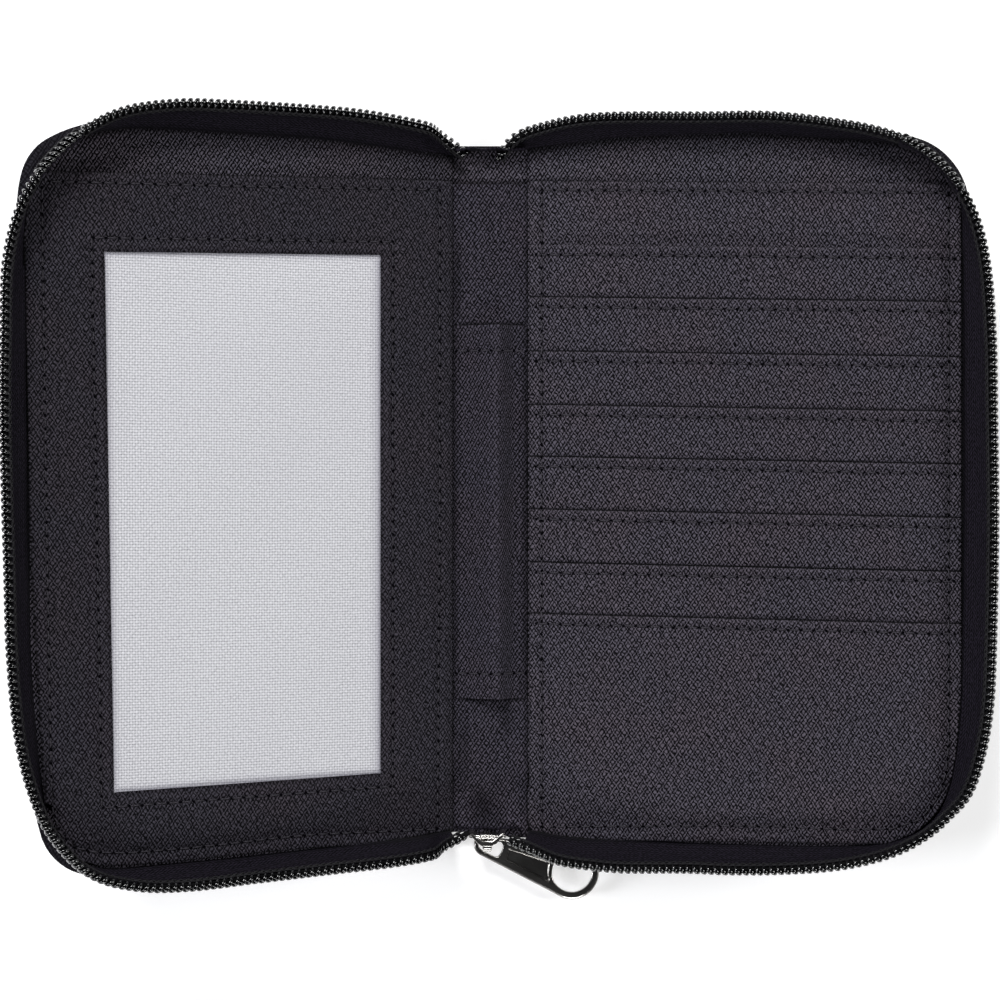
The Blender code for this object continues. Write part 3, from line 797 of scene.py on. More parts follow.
def window_frame():
    s = -1
    cols = np.concatenate([line_points(8.5, WIN_IN, 1.3, [(ST_IN, 1.6, 0.55), (22.6, 1.6, 0.55)]),
                           line_points(WIN_IN, WIN_OUT, 1.6)[1:],
                           line_points(WIN_OUT, 101.6, 1.3, [(88.0, 1.6, 0.55), (98.2, 2.0, 0.6)])[1:]])
    rows = np.concatenate([line_points(F_LOW, W_LOW, 1.3, [(-64.4, 1.6, 0.55), (-73.0, 2.0, 0.6)]),
                           line_points(W_LOW, W_TOP, 1.6)[1:],
                           line_points(W_TOP, F_TOP, 1.3, [(53.4, 1.6, 0.55), (64.8, 1.5, 0.55)])[1:]])
    U, V = np.meshgrid(cols, rows, indexing="ij")
    keep = np.ones((len(cols) - 1, len(rows) - 1), bool)
    ci = np.where((cols[:-1] >= WIN_IN - 1e-6) & (cols[1:] <= WIN_OUT + 1e-6))[0]
    ri = np.where((rows[:-1] >= W_LOW - 1e-6) & (rows[1:] <= W_TOP + 1e-6))[0]
    keep[np.ix_(ci, ri)] = False
    Y = lean_y(U, V)
    X = win_u(U, Y)
    # round the bottom outer corner and follow the cover's lower edge
    low_at = np.maximum(edge_low(X + 1.2, -1) + 1.2, np.interp(X, *np.array(FRAME_LOW).T))
    foot = step((-62.0 - V) / (-62.0 - F_LOW))
    Y = Y * (1 - foot) + foot * (low_at + (Y - lean_y(U, F_LOW)))
    X = X - 2.0 * step((X - 88.0) / 12.0) * step(-V / 75.0)
    Y = np.minimum(Y, edge_top(X + 1.2, -1) - 3.0 - 0.02 * (F_TOP - V))
    H = frame_height(X, Y)
    inside = np.maximum(np.maximum(WIN_IN - U, U - WIN_OUT), np.maximum(W_LOW - V, V - W_TOP))
    H = H - 0.30 * bell(inside, 0.9)
    # painted shade: along every stitch line and round the window's opening
    painted_shade = np.zeros_like(H)
    for path in FRAME_STITCHES:
        painted_shade = np.maximum(painted_shade, 0.26 * bell(distance_to_path(X, Y, path), 0.30))
    painted_shade = np.maximum(painted_shade, 0.35 * bell(inside, 0.5))
    # lighter just round the window's opening and along the top edge
    wear_and_highlight = 0.15 * bell(inside - 1.1, 0.5) + 0.10 * bell(V - F_TOP, 0.5)
    ob = grid_sheet("window_pocket_panel_cloth", np.stack([s * X, Y, H], 2), 0.42, M_FRAME, s,
                    CROSS_CLOTH, painted_shade=painted_shade, wear_and_highlight=wear_and_highlight, keep=keep)
    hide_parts("window_pocket_panel")
    blend_cloth(ob)
    runs = [([(-u, y) for u, y in path], lambda x, y: float(frame_height(x, y)))
            for path in FRAME_STITCHES]
    st = stitches("window_pocket_stitching", runs, s, CROSS_CLOTH)
    blend_cloth(st)


window_frame()


def window_mesh():
    s = -1
    cols, rows = np.linspace(21.5, 89.5, 69), np.linspace(-66.0, 55.0, 110)
    U, V = np.meshgrid(cols, rows, indexing="ij")
    Y = lean_y(U, V)
    X = win_u(U, Y)
    d = np.minimum(np.minimum(U - WIN_IN, WIN_OUT - U), np.minimum(V - W_LOW, W_TOP - V))
    H = 0.52 + 0.22 * step(d / 14.0) + ripple(X, Y, 21, 0.14) * step(d / 6.0)
    # painted shade: a band round the opening's rim, shade beside the frame's inner side, and solid shade
    # where the mesh lies under the frame
    painted_shade = 0.55 * bell(np.maximum(d, 0), 0.9) * (d > -3)
    painted_shade = np.maximum(painted_shade, 0.33 * bell(np.maximum(U - WIN_IN, 0), 1.6))
    painted_shade = np.where(d < -0.4, 0.8, painted_shade)
    ob = grid_sheet("mesh_window_cloth", np.stack([s * X, Y, H], 2), 0.25, M_MESH, s, painted_shade=painted_shade)
    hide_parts("mesh_window")
    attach(ob, BODY[s])


window_mesh()

# ------------------------------------------------------------------ right pocket with card slots
C_TOP, C_IN, C_OUT = 67.1, 8.9, 101.7
S_IN, S_OUT = 11.4, 99.2
SLOT_Y = [53.2, 41.8, 30.0, 18.3, 7.0, -4.5, -16.1, -27.3]
LAST = len(SLOT_Y) - 1
HEM = 2.05                        # from a strip's edge down to its stitching
CARD_LEAN = 0.0200
RIGHT_BASE = [(S_IN, -73.8), (30.0, -73.4), (50.0, -73.0), (63.0, -73.0), (76.0, -73.5), (87.0, -73.2),
              (93.2, -71.0), (97.0, -66.0)]


def card_lean(u, y):
    return y - CARD_LEAN * (u - S_IN)


def card_base_low(u):
    return np.maximum(edge_low(u + 1.6, 1) + 0.8 + 0.8 * step((u - 10.0) / 20.0), -76.3)


def side_seams(u, w):
    return bell(u - S_IN, w) + bell(u - S_OUT, w)


def tie_down(u):
    """1 between the side seams, falling to 0 at them, where the stack is sewn flat."""
    return step((u - 9.8) / 6.5) * step((101.2 - u) / 6.5)


def card_base_height(x, y):
    u = np.abs(x)
    h = 0.55 + 0.35 * tie_down(u) + ripple(u, y, 41, 0.10)
    h = h - 0.22 * side_seams(u, 0.8)
    return h - 0.2 * bell(y - card_lean(u, C_TOP - 1.7), 0.8)


def slot_height(k, x, y):
    """Top side of slot strip k; each strip lies on the one above it and under the one below."""
    u = np.abs(x)
    y0 = card_lean(u, SLOT_Y[k])
    run = y0 - y
    held = tie_down(u)
    top = 1.25 + 1.25 * held
    if k == LAST:
        h = top - 0.35 * step(run / 20.0) + held * ripple(u, y, 77, 0.16)
        h = h - 0.9 * step((-68.0 - y) / 7.0) - 0.2 * bell(distance_to_path(u, y, RIGHT_BASE), 0.8)
    else:
        h = top - (0.45 + 0.25 * held) * np.clip(run, 0, 60.0) / 11.5 * 0.85
        h = h + held * ripple(u * 1.3, y * 0.6 + 40 * k, 60 + k, 0.16)
    h = h + ((0.12 if k == LAST else 0.10) + 0.14 * held) * bell(run - 0.4, 1.3)
    h = h - 0.20 * bell(run - HEM, 0.7) - 0.26 * side_seams(u, 0.75)
    return np.maximum(h, 0.35)


def card_pocket():
    s = 1                         # the right cover
    cols = line_points(C_IN, C_OUT, 1.6, [(S_IN, 1.6, 0.6), (S_OUT, 1.8, 0.6)])
    vs = np.linspace(0, 1, 90)
    U = np.repeat(cols[:, None], len(vs), 1)
    top = np.minimum(card_lean(U, C_TOP), edge_top(U + 1.2, 1) - 3.0)
    low = card_base_low(U)
    Y = top + (low - top) * vs[None, :]
    H = card_base_height(U, Y)
    # painted shade along the stitch line under the top edge and at the side seams
    painted_shade = 0.35 * np.maximum(bell(Y - card_lean(U, C_TOP - 1.7), 0.30), side_seams(U, 0.30))
    # lighter along the top edge
    wear_and_highlight = 0.10 * bell(Y - top, 0.4)
    ob = grid_sheet("card_pocket_panel_cloth", np.stack([U, Y, H], 2), 0.35, M_POCKET, s, CROSS_CLOTH,
                    painted_shade=painted_shade, wear_and_highlight=wear_and_highlight)
    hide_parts("card_pocket_panel")
    blend_cloth(ob)
    for k, y0 in enumerate(SLOT_Y):
        last = k == LAST
        runs = np.concatenate([np.array([0.0, 0.25, 0.55, 1.0, 1.4, 1.75, 2.05, 2.35, 2.7, 3.3]),
                               np.linspace(4.2, 10.2, 7), np.linspace(10.6, 12.6, 9), [13.4, 14.0],
                               np.linspace(16.0, 22.0, 4) if not last else np.linspace(15.2, 46.0, 28)])
        U = np.repeat(cols[:, None], len(runs), 1)
        if last:
            low = card_base_low(U)
            r = runs[None, :] / runs[-1]
            Y = card_lean(U, y0) - r * (card_lean(U, y0) - low)
        else:
            Y = card_lean(U, y0) - runs[None, :]
        H = slot_height(k, U, Y)
        run = card_lean(U, y0) - Y
        H = H - 0.22 * np.clip(1 - run / 0.3, 0, 1)
        # painted shade along the hem stitching, the side seams and, on the last strip, the base stitching
        painted_shade = np.maximum(0.30 * bell(run - HEM, 0.26), 0.35 * side_seams(U, 0.30))
        if last:
            painted_shade = np.maximum(painted_shade, 0.35 * bell(distance_to_path(U, Y, RIGHT_BASE), 0.30))
        else:
            # painted shadow cast on this strip by the edge of the next strip, which lies over it
            gap = run - (SLOT_Y[k] - SLOT_Y[k + 1])
            painted_shade = np.maximum(painted_shade, np.minimum(1.0, 1.5 * bell(np.minimum(gap + 0.10, 0), 0.26)))
        # lighter along the strip's top edge
        wear_and_highlight = 0.30 * bell(run - 0.15, 0.35)
        ob = grid_sheet("card_slot_%d_cloth" % (k + 1), np.stack([U, Y, H], 2),
                        0.42 if k else 0.38, M_POCKET, s, CROSS_CLOTH, painted_shade=painted_shade, wear_and_highlight=wear_and_highlight)
        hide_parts("card_slot_%d" % (k + 1))
        blend_cloth(ob)
    runs = [([(S_IN, card_lean(S_IN, C_TOP - 1.7)), (S_OUT, card_lean(S_OUT, C_TOP - 1.7))],
             lambda x, y: float(card_base_height(x, y)))]

    def pile(x, y):
        """Height of whatever strip shows at a point."""
        best = float(card_base_height(x, y))
        for k, y0 in enumerate(SLOT_Y):
            if y <= card_lean(x, y0):
                best = float(slot_height(k, x, y))
        return best

    for k, y0 in enumerate(SLOT_Y):
        path = [(S_IN - 1.2, card_lean(S_IN, y0 - HEM)), (S_OUT + 1.2, card_lean(S_OUT, y0 - HEM))]
        runs.append((path, lambda x, y, k=k: float(slot_height(k, x, y))))
    runs.append(([(S_IN, 64.8), (S_IN, -73.0)], pile))
    runs.append(([(S_OUT, 63.2), (S_OUT, -55.0), (98.6, -61.0), (97.0, -66.0)], pile))
    runs.append((RIGHT_BASE, pile))
    st = stitches("card_pocket_stitching", runs, s, CROSS_CLOTH)
    blend_cloth(st)


card_pocket()


# ------------------------------------------------------------------ spine cloth and pen sleeve
SLEEVE_TOP, SLEEVE_LOW = 35.6, -45.6
HEM_TOP, HEM_LOW = 30.2, -40.3


def spine_height(x, y):
    """Soft cloth across the spine, in millimetres above the table: creased above and below."""
    low = step((-45.0 - y) / 12.0)
    high = step((y - 36.0) / 10.0)
    h = 3.95 + ripple(x * 3.0, y * 1.6, 90, 0.14)
    h = h + 0.30 * high * np.sin(0.8 * x + 0.16 * y + 0.8) * bell(x, 7.0)
    h = h + 0.55 * low * bell(x + 0.22 * (y + 60) + 0.5, 2.0) - 0.45 * low * bell(x - 3.9, 1.8)
    h = h + 0.35 * low * np.sin(0.55 * y + 0.5 * x)
    return h - 0.8 * bell(np.hypot((x + 0.8) / 3.6, (y + 69.5) / 5.5), 1.0)


def spine_shade(x, y):
    """Where the soft spine cloth lies in shadow: its side creases and the dimples at its ends."""
    d = 0.42 * bell(x - 8.3, 0.7) + 0.40 * bell(x + 8.2, 1.1) * step((44.0 - y) / 12.0)
    for edge, way in ((SLEEVE_TOP, 1), (SLEEVE_LOW, -1)):
        d = np.maximum(d, 0.85 * bell(way * (y - edge) - 0.45, 0.40) * step((8.0 - np.abs(x - 0.4)) / 1.5))
    d = np.maximum(d, 0.50 * bell(x + 7.4, 1.2) * step((y - 30.0) / 12.0) * step((60.0 - y) / 12.0))
    d = np.maximum(d, 0.62 * bell(np.hypot((x + 1.6 + 0.12 * (y + 69)) / 2.6, (y + 69.5) / 5.0), 1.0))
    d = np.maximum(d, 0.45 * bell(np.hypot((x - 3.6) / 1.4, (y + 50.0) / 4.2), 1.0))
    return np.maximum(d, 0.40 * bell(np.hypot((x + 6.0) / 1.6, (y + 58.0) / 9.0), 1.0))


def foot_drop(x, y):
    """The cloth reaches lower on the pull's side, down to the coil."""
    return 1.2 * step((x - 2.6) / 1.6) * step((-66.0 - y) / 8.0)


def spine_cloth():
    xs = np.linspace(-8.2, 8.2, 34)
    ys = line_points(-75.0, 66.6, 1.0, [(SLEEVE_TOP + 0.5, 1.4, 0.3), (SLEEVE_LOW - 0.5, 1.4, 0.3)])
    X, Y = np.meshgrid(xs, ys, indexing="ij")
    P = np.stack([X, Y - foot_drop(X, Y), np.clip(spine_height(X, Y), 3.45, 4.7)], 2)
    ob = grid_sheet("spine_pocket_cloth", P, 0.3, M_SPINE, painted_shade=spine_shade(X, Y))
    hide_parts("spine_pocket_strip")
    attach(ob, "spine")
    xs = np.linspace(-8.2, 8.2, 18)
    ys = np.concatenate([np.linspace(-75.0, 64.0, 80), np.linspace(64.4, 75.0, 30)])
    X, Y = np.meshgrid(xs, ys, indexing="ij")
    # painted shade: along the top edge, down the crease from the left zip, and under the pocket's top edge
    painted_crease_shade = np.maximum(0.6 * bell(Y - 74.8, 0.8), 0.85 * bell(X + 9.6 - 0.71 * (74.2 - Y), 1.2)
                      * step((Y - 67.4) / 2.0))
    painted_crease_shade = np.maximum(painted_crease_shade, 0.75 * bell(Y - 67.1, 0.45))
    H = 2.95 + 0.5 * step((Y - 67.0) / 5.0) + ripple(X * 2, Y, 93, 0.08)
    P = np.stack([X, Y - foot_drop(X, Y), H], 2)
    ob = grid_sheet("spine_lining_cloth", P, 0.3, M_LINING, painted_shade=painted_crease_shade)
    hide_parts("spine_lining")
    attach(ob, "spine")


spine_cloth()


def sleeve_height(x, y):
    crest = 1.5
    left = np.clip((x + 6.6) / (crest + 6.6), 0, 1)
    right = np.clip((5.4 - x) / (5.4 - crest), 0, 1)
    arch = np.where(x < crest, step(left) ** 0.9, step(right) ** 0.8)
    tall = 4.35 * (0.90 + 0.10 * np.cos((y + 5.0) * 0.07))
    h = 4.05 + tall * arch + 0.18 * np.sin(0.7 * y + 0.8 * x) * arch
    h = h - 0.22 * bell(y - HEM_TOP, 0.9) - 0.22 * bell(y - HEM_LOW, 0.9)
    h = h + 0.15 * step((y - HEM_TOP) / 2.0) + 0.15 * step((HEM_LOW - y) / 2.0)
    return h


def pen_sleeve():
    xs = np.concatenate([np.linspace(-7.8, -6.0, 5), np.linspace(-5.6, 5.6, 32), np.linspace(6.0, 8.1, 5)])
    ys = line_points(SLEEVE_LOW, SLEEVE_TOP, 1.0, [(HEM_TOP, 1.2, 0.4), (HEM_LOW, 1.2, 0.4)])
    X, Y = np.meshgrid(xs, ys, indexing="ij")
    P = np.stack([X, Y, sleeve_height(X, Y)], 2)
    across = np.concatenate([[0], np.cumsum(np.hypot(np.diff(xs), np.diff(sleeve_height(xs, 0 * xs))))])
    UV = np.stack([np.repeat(across[:, None], len(ys), 1), Y], 2)
    # painted shade along both hems and in the valleys at the sleeve's sides
    painted_shade = np.maximum(0.35 * bell(Y - HEM_TOP, 0.3), 0.35 * bell(Y - HEM_LOW, 0.3))
    painted_shade = np.maximum(painted_shade, 0.55 * bell(np.abs(X) - 8.0, 1.0))
    # painted highlight along the sleeve's crest, and lighter along its top and bottom edges
    wear_and_highlight = 0.16 * bell(X - 1.6, 1.2) + 0.15 * bell(Y - SLEEVE_TOP, 0.5) + 0.15 * bell(Y - SLEEVE_LOW, 0.5)
    ob = grid_sheet("pen_sleeve_cloth", P, 0.4, M_SPINE, uv=UV, painted_shade=painted_shade, wear_and_highlight=wear_and_highlight)
    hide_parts("pen_sleeve")
    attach(ob, "spine")
    runs = [([(-7.4, y), (7.8, y)], lambda x, y: float(sleeve_height(x, y))) for y in (HEM_TOP, HEM_LOW)]
    st = stitches("pen_sleeve_stitching", runs)
    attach(st, "spine")


pen_sleeve()

# ------------------------------------------------------------------ zip tapes and coils
COIL_PATH = {
    -1: [(5.6, 72.9), (7.2, 74.0), (9.6, 75.5), (13.9, 77.2), (21.2, 78.4), (32.9, 79.6), (47.2, 79.9),
         (62.5, 79.8), (72.3, 79.4), (82.6, 77.6), (89.9, 74.3), (96.4, 69.3), (101.8, 62.9),
         (105.4, 55.5), (107.7, 45.0), (108.1, 30.8), (108.2, 17.9), (107.9, 2.6), (107.4, -15.5),
         (106.8, -33.5), (105.0, -51.5), (101.4, -64.8), (96.6, -73.1), (89.8, -79.1), (80.4, -81.8),
         (69.4, -82.3), (55.5, -81.5), (38.5, -80.5), (24.2, -79.4), (14.5, -78.1), (9.6, -76.8),
         (6.4, -75.3), (4.4, -74.2)],
    1: [(1.9, 72.2), (3.3, 74.0), (6.0, 76.4), (11.5, 78.2), (21.8, 79.8), (32.8, 80.1), (46.3, 79.9),
        (60.0, 79.8), (72.0, 78.5), (84.0, 76.3), (92.3, 73.0), (99.2, 66.9), (103.9, 58.7),
        (106.5, 47.6), (107.6, 32.6), (107.9, 16.3), (108.1, -7.9), (107.6, -35.1), (106.8, -48.5),
        (104.8, -58.8), (102.4, -65.2), (98.5, -69.8), (94.7, -73.3), (89.2, -76.6), (82.4, -79.0),
        (74.0, -80.6), (63.0, -81.4), (52.0, -81.6), (43.7, -81.4), (30.0, -81.4), (22.8, -80.8),
        (17.2, -80.1), (12.9, -79.1), (8.6, -77.5), (4.1, -75.8)]}


COIL_PITCH, PER_TURN = 1.49, 18       # one turn's length and its points
WIRE, FILLER = 0.35, 0.62             # radius of the coil's wire and of the cord inside


def seam_inset(u, y, s):
    """How far inside the cover's rim the tape is sewn."""
    top = 0.3 + 1.7 * step((u - 50.0) / 35.0) if s > 0 else 2.0 + 0.0 * u
    return np.where(y > 0, top, 0.5 + 1.5 * step((u - 14.0) / 24.0))


def seam_line(s):
    """Smooth seam line just inside the cover's three free edges."""
    edge = np.concatenate([EDGE[s, "top"][:-1], EDGE[s, "low"][::-1]])
    edge = edge[edge[:, 0] > 2.0]
    inset = seam_inset(edge[:, 0], edge[:, 1], s)[:, None]
    d = unit(np.gradient(edge, axis=0))
    inner = edge + inset * np.stack([d[:, 1], -d[:, 0]], 1)
    return resample(inner, 0.5)[0]


def match_seam(coil, seam):
    """For each coil point the seam point nearest to it, kept in order and smoothed."""
    out, last = [], 0
    for c in coil:
        d = np.hypot(seam[:, 0] - c[0], seam[:, 1] - c[1])
        d[:last] = 1e9
        last = int(np.argmin(d))
        out.append(last)
    idx = np.array(out, float)
    k = 15
    pad = np.r_[np.full(k, idx[0]), idx, np.full(k, idx[-1])]
    idx = np.convolve(pad, np.ones(2 * k + 1) / (2 * k + 1), "same")[k:-k]
    at = np.arange(len(seam))
    return np.stack([np.interp(idx, at, seam[:, 0]), np.interp(idx, at, seam[:, 1])], 1)


def zip_side(s):
    raw, _ = resample(catmull(COIL_PATH[s], 14), 0.75)
    n = len(raw)
    dist = np.r_[0, np.cumsum(np.linalg.norm(np.diff(raw, axis=0), axis=1))]
    left_over = dist[-1] - dist               # what is left to the slider's end
    away = np.minimum(dist, left_over)
    rise = 6.8 - 1.6 * (1 - step((raw[:, 0] - 6.0) / 16.0))
    # each chain dives behind the spine's top edge, and at the other end runs into the slider
    dive = 5.0 * (1 - step(dist / 7.0))
    end = 1.0 * (1 - step(left_over / 5.0)) - 3.0 * (1 - step((left_over - 14.0) / 26.0))
    H = rise - dive - end + 0.12 * np.sin(dist * 0.11)
    coil = np.stack([s * raw[:, 0], raw[:, 1], H], 1)
    seam2 = match_seam(raw, seam_line(s))
    sunk = -0.45 - 0.40 * (2.0 - seam_inset(seam2[:, 0], seam2[:, 1], s))
    seam = np.stack([s * seam2[:, 0], seam2[:, 1], sunk], 1)
    tang = unit(np.gradient(coil, axis=0))
    across = coil - seam
    across = unit(across - tang * np.sum(across * tang, 1, keepdims=True))
    face = np.cross(across, tang) * s          # the side that looks up and in
    face = np.where(face[:, 2:3] < 0, -face, face)

    # tape: from the seam up to just behind the coil, slightly slack between
    ts = np.linspace(0, 1, 15)
    P = np.zeros((n, len(ts), 3))
    head = coil - across * 0.2 - face * 0.75
    early = 1.0 - 0.62 * (1 - step((left_over - 16.0) / 20.0))      # it stands up at once beside the pull
    for j, t in enumerate(ts):
        P[:, j] = seam * (1 - t) + head * t
        up = t ** early
        P[:, j, 2] = seam[:, 2] * (1 - up) + head[:, 2] * up
    bow = np.sin(math.pi * ts)[None, :, None]
    slack = 0.55 + 0.22 * np.sin(dist * 0.23 + s)[:, None, None] * step(away / 20.0)[:, None, None]
    P = P - face[:, None, :] * bow * slack
    along = np.repeat(dist[:, None], len(ts), 1)
    wide = np.linalg.norm(head - seam, axis=1)
    UV = np.stack([along, wide[:, None] * ts[None, :]], 2)
    # painted shade along the seam where the tape is sewn to the cover
    painted_shade = np.broadcast_to(0.8 * bell(ts, 0.10)[None, :], (n, len(ts)))
    on = left_over > 2.6                       # cut back from the slider
    tape = grid_sheet(SIDE[s] + "_zip_tape_cloth", P[on], 0.4, M_TAPE, s, CROSS_ZIP, uv=UV[on], painted_shade=painted_shade[on])
    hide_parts(SIDE[s] + "_zip_tape")
    blend_zip(tape)

    # coil: one flattened helix with broad heads on its outer side
    turns = int(dist[-1] / COIL_PITCH)
    m = turns * PER_TURN
    q = np.linspace(0, turns * COIL_PITCH, m + 1)
    phase = 2 * math.pi * np.arange(m + 1) / PER_TURN

    def at(arr):
        return np.stack([np.interp(q, dist, arr[:, k]) for k in range(3)], 1)

    C, T, A, F = at(coil), at(tang), at(across), at(face)
    cx, sx = np.cos(phase), np.sin(phase)
    cx = np.sign(cx) * np.abs(cx) ** 0.75
    sx = np.sign(sx) * np.abs(sx) ** 0.85
    line = C + A * (1.30 * cx)[:, None] + F * (0.76 * sx)[:, None] + T * (0.26 * sx)[:, None]
    d = unit(np.gradient(line, axis=0))
    e1 = unit(np.cross(d, T))
    fat = 1.0 + 0.50 * np.clip(np.cos(phase), 0, 1) ** 1.5
    V, faces = pipe(line, e1, np.cross(d, e1), WIRE, 7, fat)
    helix = make_object(SIDE[s] + "_zip_coil_turns", fold_up(V, s, CROSS_ZIP), faces, M_COIL)
    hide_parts(SIDE[s] + "_zip_coil", "zip_coil_end_top_" + SIDE[s], "zip_coil_end_bottom_" + SIDE[s])
    blend_zip(helix)

    # filler cord inside the coil, and the two sewing threads lying over its legs
    def tube(name, centre, r, mat, sides=6):
        d = unit(np.gradient(centre, axis=0))
        k = len(centre)
        f = np.stack([np.interp(np.linspace(0, 1, k), np.linspace(0, 1, n), face[:, c]) for c in range(3)], 1)
        e1 = unit(np.cross(d, f))
        V, fs = pipe(centre, e1, np.cross(d, e1), r, sides)
        ob = make_object(name, fold_up(V, s, CROSS_ZIP), fs, mat)
        blend_zip(ob)

    tube(SIDE[s] + "_zip_filler", coil, FILLER, M_CORD)
    q = np.linspace(0, turns * COIL_PITCH, turns * 6 + 1)
    C, T, A, F = at(coil), at(tang), at(across), at(face)
    for row, (where, lead, thick) in enumerate(((-0.10, 0.0, 0.24), (-0.62, 0.5, 0.16))):
        lift = 0.98 + 0.14 * np.cos(2 * math.pi * (q / COIL_PITCH + 0.25 + lead))
        tube("%s_zip_sewing_%d" % (SIDE[s], row + 1), C + A * where + F * lift[:, None], thick, M_THREAD, 5)


for s in (-1, 1):
    zip_side(s)


# ------------------------------------------------------------------ tape ends on the spine
def tape_ends():
    """Turned-under tape across the spine at each end, in one soft wall."""
    z0 = 0.6
    for node, y, z1, out in (("zip_tape_end_top", 74.2, 7.4, 1), ("zip_tape_end_bottom", -74.35, 4.6, -1)):
        xs = np.linspace(-7.6, 7.6, 36)
        ts = np.linspace(0, 1, 14)
        X = np.repeat(xs[:, None], len(ts), 1)
        sag = 1.1 * (np.abs(X) / 7.6) ** 2
        Z = z0 + (z1 - z0 - sag * 0.5) * ts[None, :]
        Y = y + out * (0.15 * np.sin(X * 1.1) * ts[None, :] + 0.35 * np.sin(math.pi * ts)[None, :])
        P = np.stack([X, Y, Z], 2)
        # lighter along the wall's top edge
        ob = grid_sheet(node + "_cloth", P, 0.45, M_TAPE, uv=np.stack([X, Z], 2),
                        wear_and_highlight=0.2 * bell(ts - 1.0, 0.1)[None, :])
        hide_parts(node)
        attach(ob, "spine")


tape_ends()


# ------------------------------------------------------------------ metal: slider, bridge, pull
def bevelled(ob, width, segments=3):
    b = ob.modifiers.new("edge", "BEVEL")
    b.width = width * MM
    b.segments = segments
    b.limit_method = "ANGLE"
    b.angle_limit = math.radians(35)
    b.harden_normals = False


def polygon_prism(name, outline, z0, z1, mat):
    """A flat outline in x, y extruded from z0 to z1, as one mesh."""
    cu = bpy.data.curves.new(name, "CURVE")
    cu.dimensions = "2D"
    cu.fill_mode = "BOTH"
    cu.extrude = (z1 - z0) / 2 * MM
    sp = cu.splines.new("POLY")
    sp.points.add(len(outline) - 1)
    for p, (x, y) in zip(sp.points, outline):
        p.co = (x * MM, y * MM, 0.0, 1.0)
    sp.use_cyclic_u = True
    tmp = placed(name + "_outline", cu)
    bpy.context.view_layer.update()
    me = bpy.data.meshes.new_from_object(tmp.evaluated_get(bpy.context.evaluated_depsgraph_get()))
    bpy.data.objects.remove(tmp, do_unlink=True)
    bm = bmesh.new()
    bm.from_mesh(me)
    bmesh.ops.remove_doubles(bm, verts=bm.verts, dist=0.000005)
    bmesh.ops.translate(bm, verts=bm.verts, vec=(0, 0, (z0 + z1) / 2 * MM))
    bmesh.ops.recalc_face_normals(bm, faces=bm.faces)
    bmesh.ops.dissolve_limit(bm, angle_limit=0.001, verts=bm.verts, edges=bm.edges)
    bm.to_mesh(me)
    bm.free()
    me.materials.clear()
    me.materials.append(mat)
    return placed(name, me)


def arc(cx, cy, r, a0, a1, n):
    return [(cx + r * math.cos(math.radians(a0 + (a1 - a0) * i / n)),
             cy + r * math.sin(math.radians(a0 + (a1 - a0) * i / n))) for i in range(n + 1)]


def apply_all(ob):
    bpy.context.view_layer.update()
    me = bpy.data.meshes.new_from_object(ob.evaluated_get(bpy.context.evaluated_depsgraph_get()))
    ob.modifiers.clear()
    ob.data = me
    me.polygons.foreach_set("use_smooth", [True] * len(me.polygons))


def auto_smooth(ob, degrees):
    me = ob.data
    bm = bmesh.new()
    bm.from_mesh(me)
    for e in bm.edges:
        e.smooth = not (len(e.link_faces) == 2 and e.calc_face_angle(0) > math.radians(degrees))
    bm.to_mesh(me)
    bm.free()
    me.polygons.foreach_set("use_smooth", [True] * len(me.polygons))


def turned(ring, clockwise=False):
    """A ring made to run the given way, and the direction to its left at each point."""
    p = np.array(ring, float)
    area = np.sum(p[:, 0] * np.roll(p[:, 1], -1) - np.roll(p[:, 0], -1) * p[:, 1])
    if (area < 0) != clockwise:
        p = p[::-1]
    t = unit(np.roll(p, -1, 0) - np.roll(p, 1, 0))
    return p, np.stack([-t[:, 1], t[:, 0]], 1)


def rounded_plate(name, outline, holes, z0, z1, r_out, mat, steps=5, r_in=None):
    """A flat plate with rounded edges all round its outline and its holes."""
    verts, faces, caps = [], [], ([], [])
    for number, ring in enumerate([outline] + list(holes)):
        r = r_out if number == 0 or r_in is None else r_in
        p, inward = turned(ring, number > 0)
        prof = [(r * (1 - math.cos(a)), z1 - r + r * math.sin(a))
                for a in np.linspace(math.pi / 2, 0, steps)]
        prof += [(r * (1 - math.cos(a)), z0 + r - r * math.sin(a))
                 for a in np.linspace(0, math.pi / 2, steps)]
        rows = []
        for back, z in prof:
            q = p + inward * back
            rows.append(list(range(len(verts), len(verts) + len(q))))
            verts += [(x, y, z) for x, y in q]
        n = len(p)
        for r0, r1 in zip(rows, rows[1:]):
            faces += [[r0[k], r1[k], r1[(k + 1) % n], r0[(k + 1) % n]] for k in range(n)]
        caps[0].append(rows[0])
        caps[1].append(rows[-1])
    ob = make_object(name, verts, faces, mat)
    bm = bmesh.new()
    bm.from_mesh(ob.data)
    bm.verts.ensure_lookup_table()
    for rings in caps:
        edges = []
        for ring in rings:
            for a, b in zip(ring, ring[1:] + ring[:1]):
                edges.append(bm.edges.get((bm.verts[a], bm.verts[b])))
        bmesh.ops.triangle_fill(bm, edges=edges, use_beauty=True, use_dissolve=False)
    bmesh.ops.recalc_face_normals(bm, faces=bm.faces)
    bm.to_mesh(ob.data)
    bm.free()
    return ob


def tapered_tool(name, ring, z_low, z_high, grow, mat):
    """A closed block whose outline grows by a margin from its low face to its high face."""
    p, inward = turned(ring)
    wide = p - grow * inward
    n = len(p)
    verts = [(x, y, z_low) for x, y in p] + [(x, y, z_high) for x, y in wide]
    faces = [list(range(n))[::-1], [k + n for k in range(n)]]
    faces += [[k, (k + 1) % n, (k + 1) % n + n, k + n] for k in range(n)]
    if z_high < z_low:
        faces = [f[::-1] for f in faces]
    return make_object(name, verts, faces, mat, False)


def cut(ob, tool):
    mod = ob.modifiers.new("cut", "BOOLEAN")
    mod.operation, mod.solver, mod.object = "DIFFERENCE", "EXACT", tool
    apply_all(ob)
    bpy.data.objects.remove(tool, do_unlink=True)


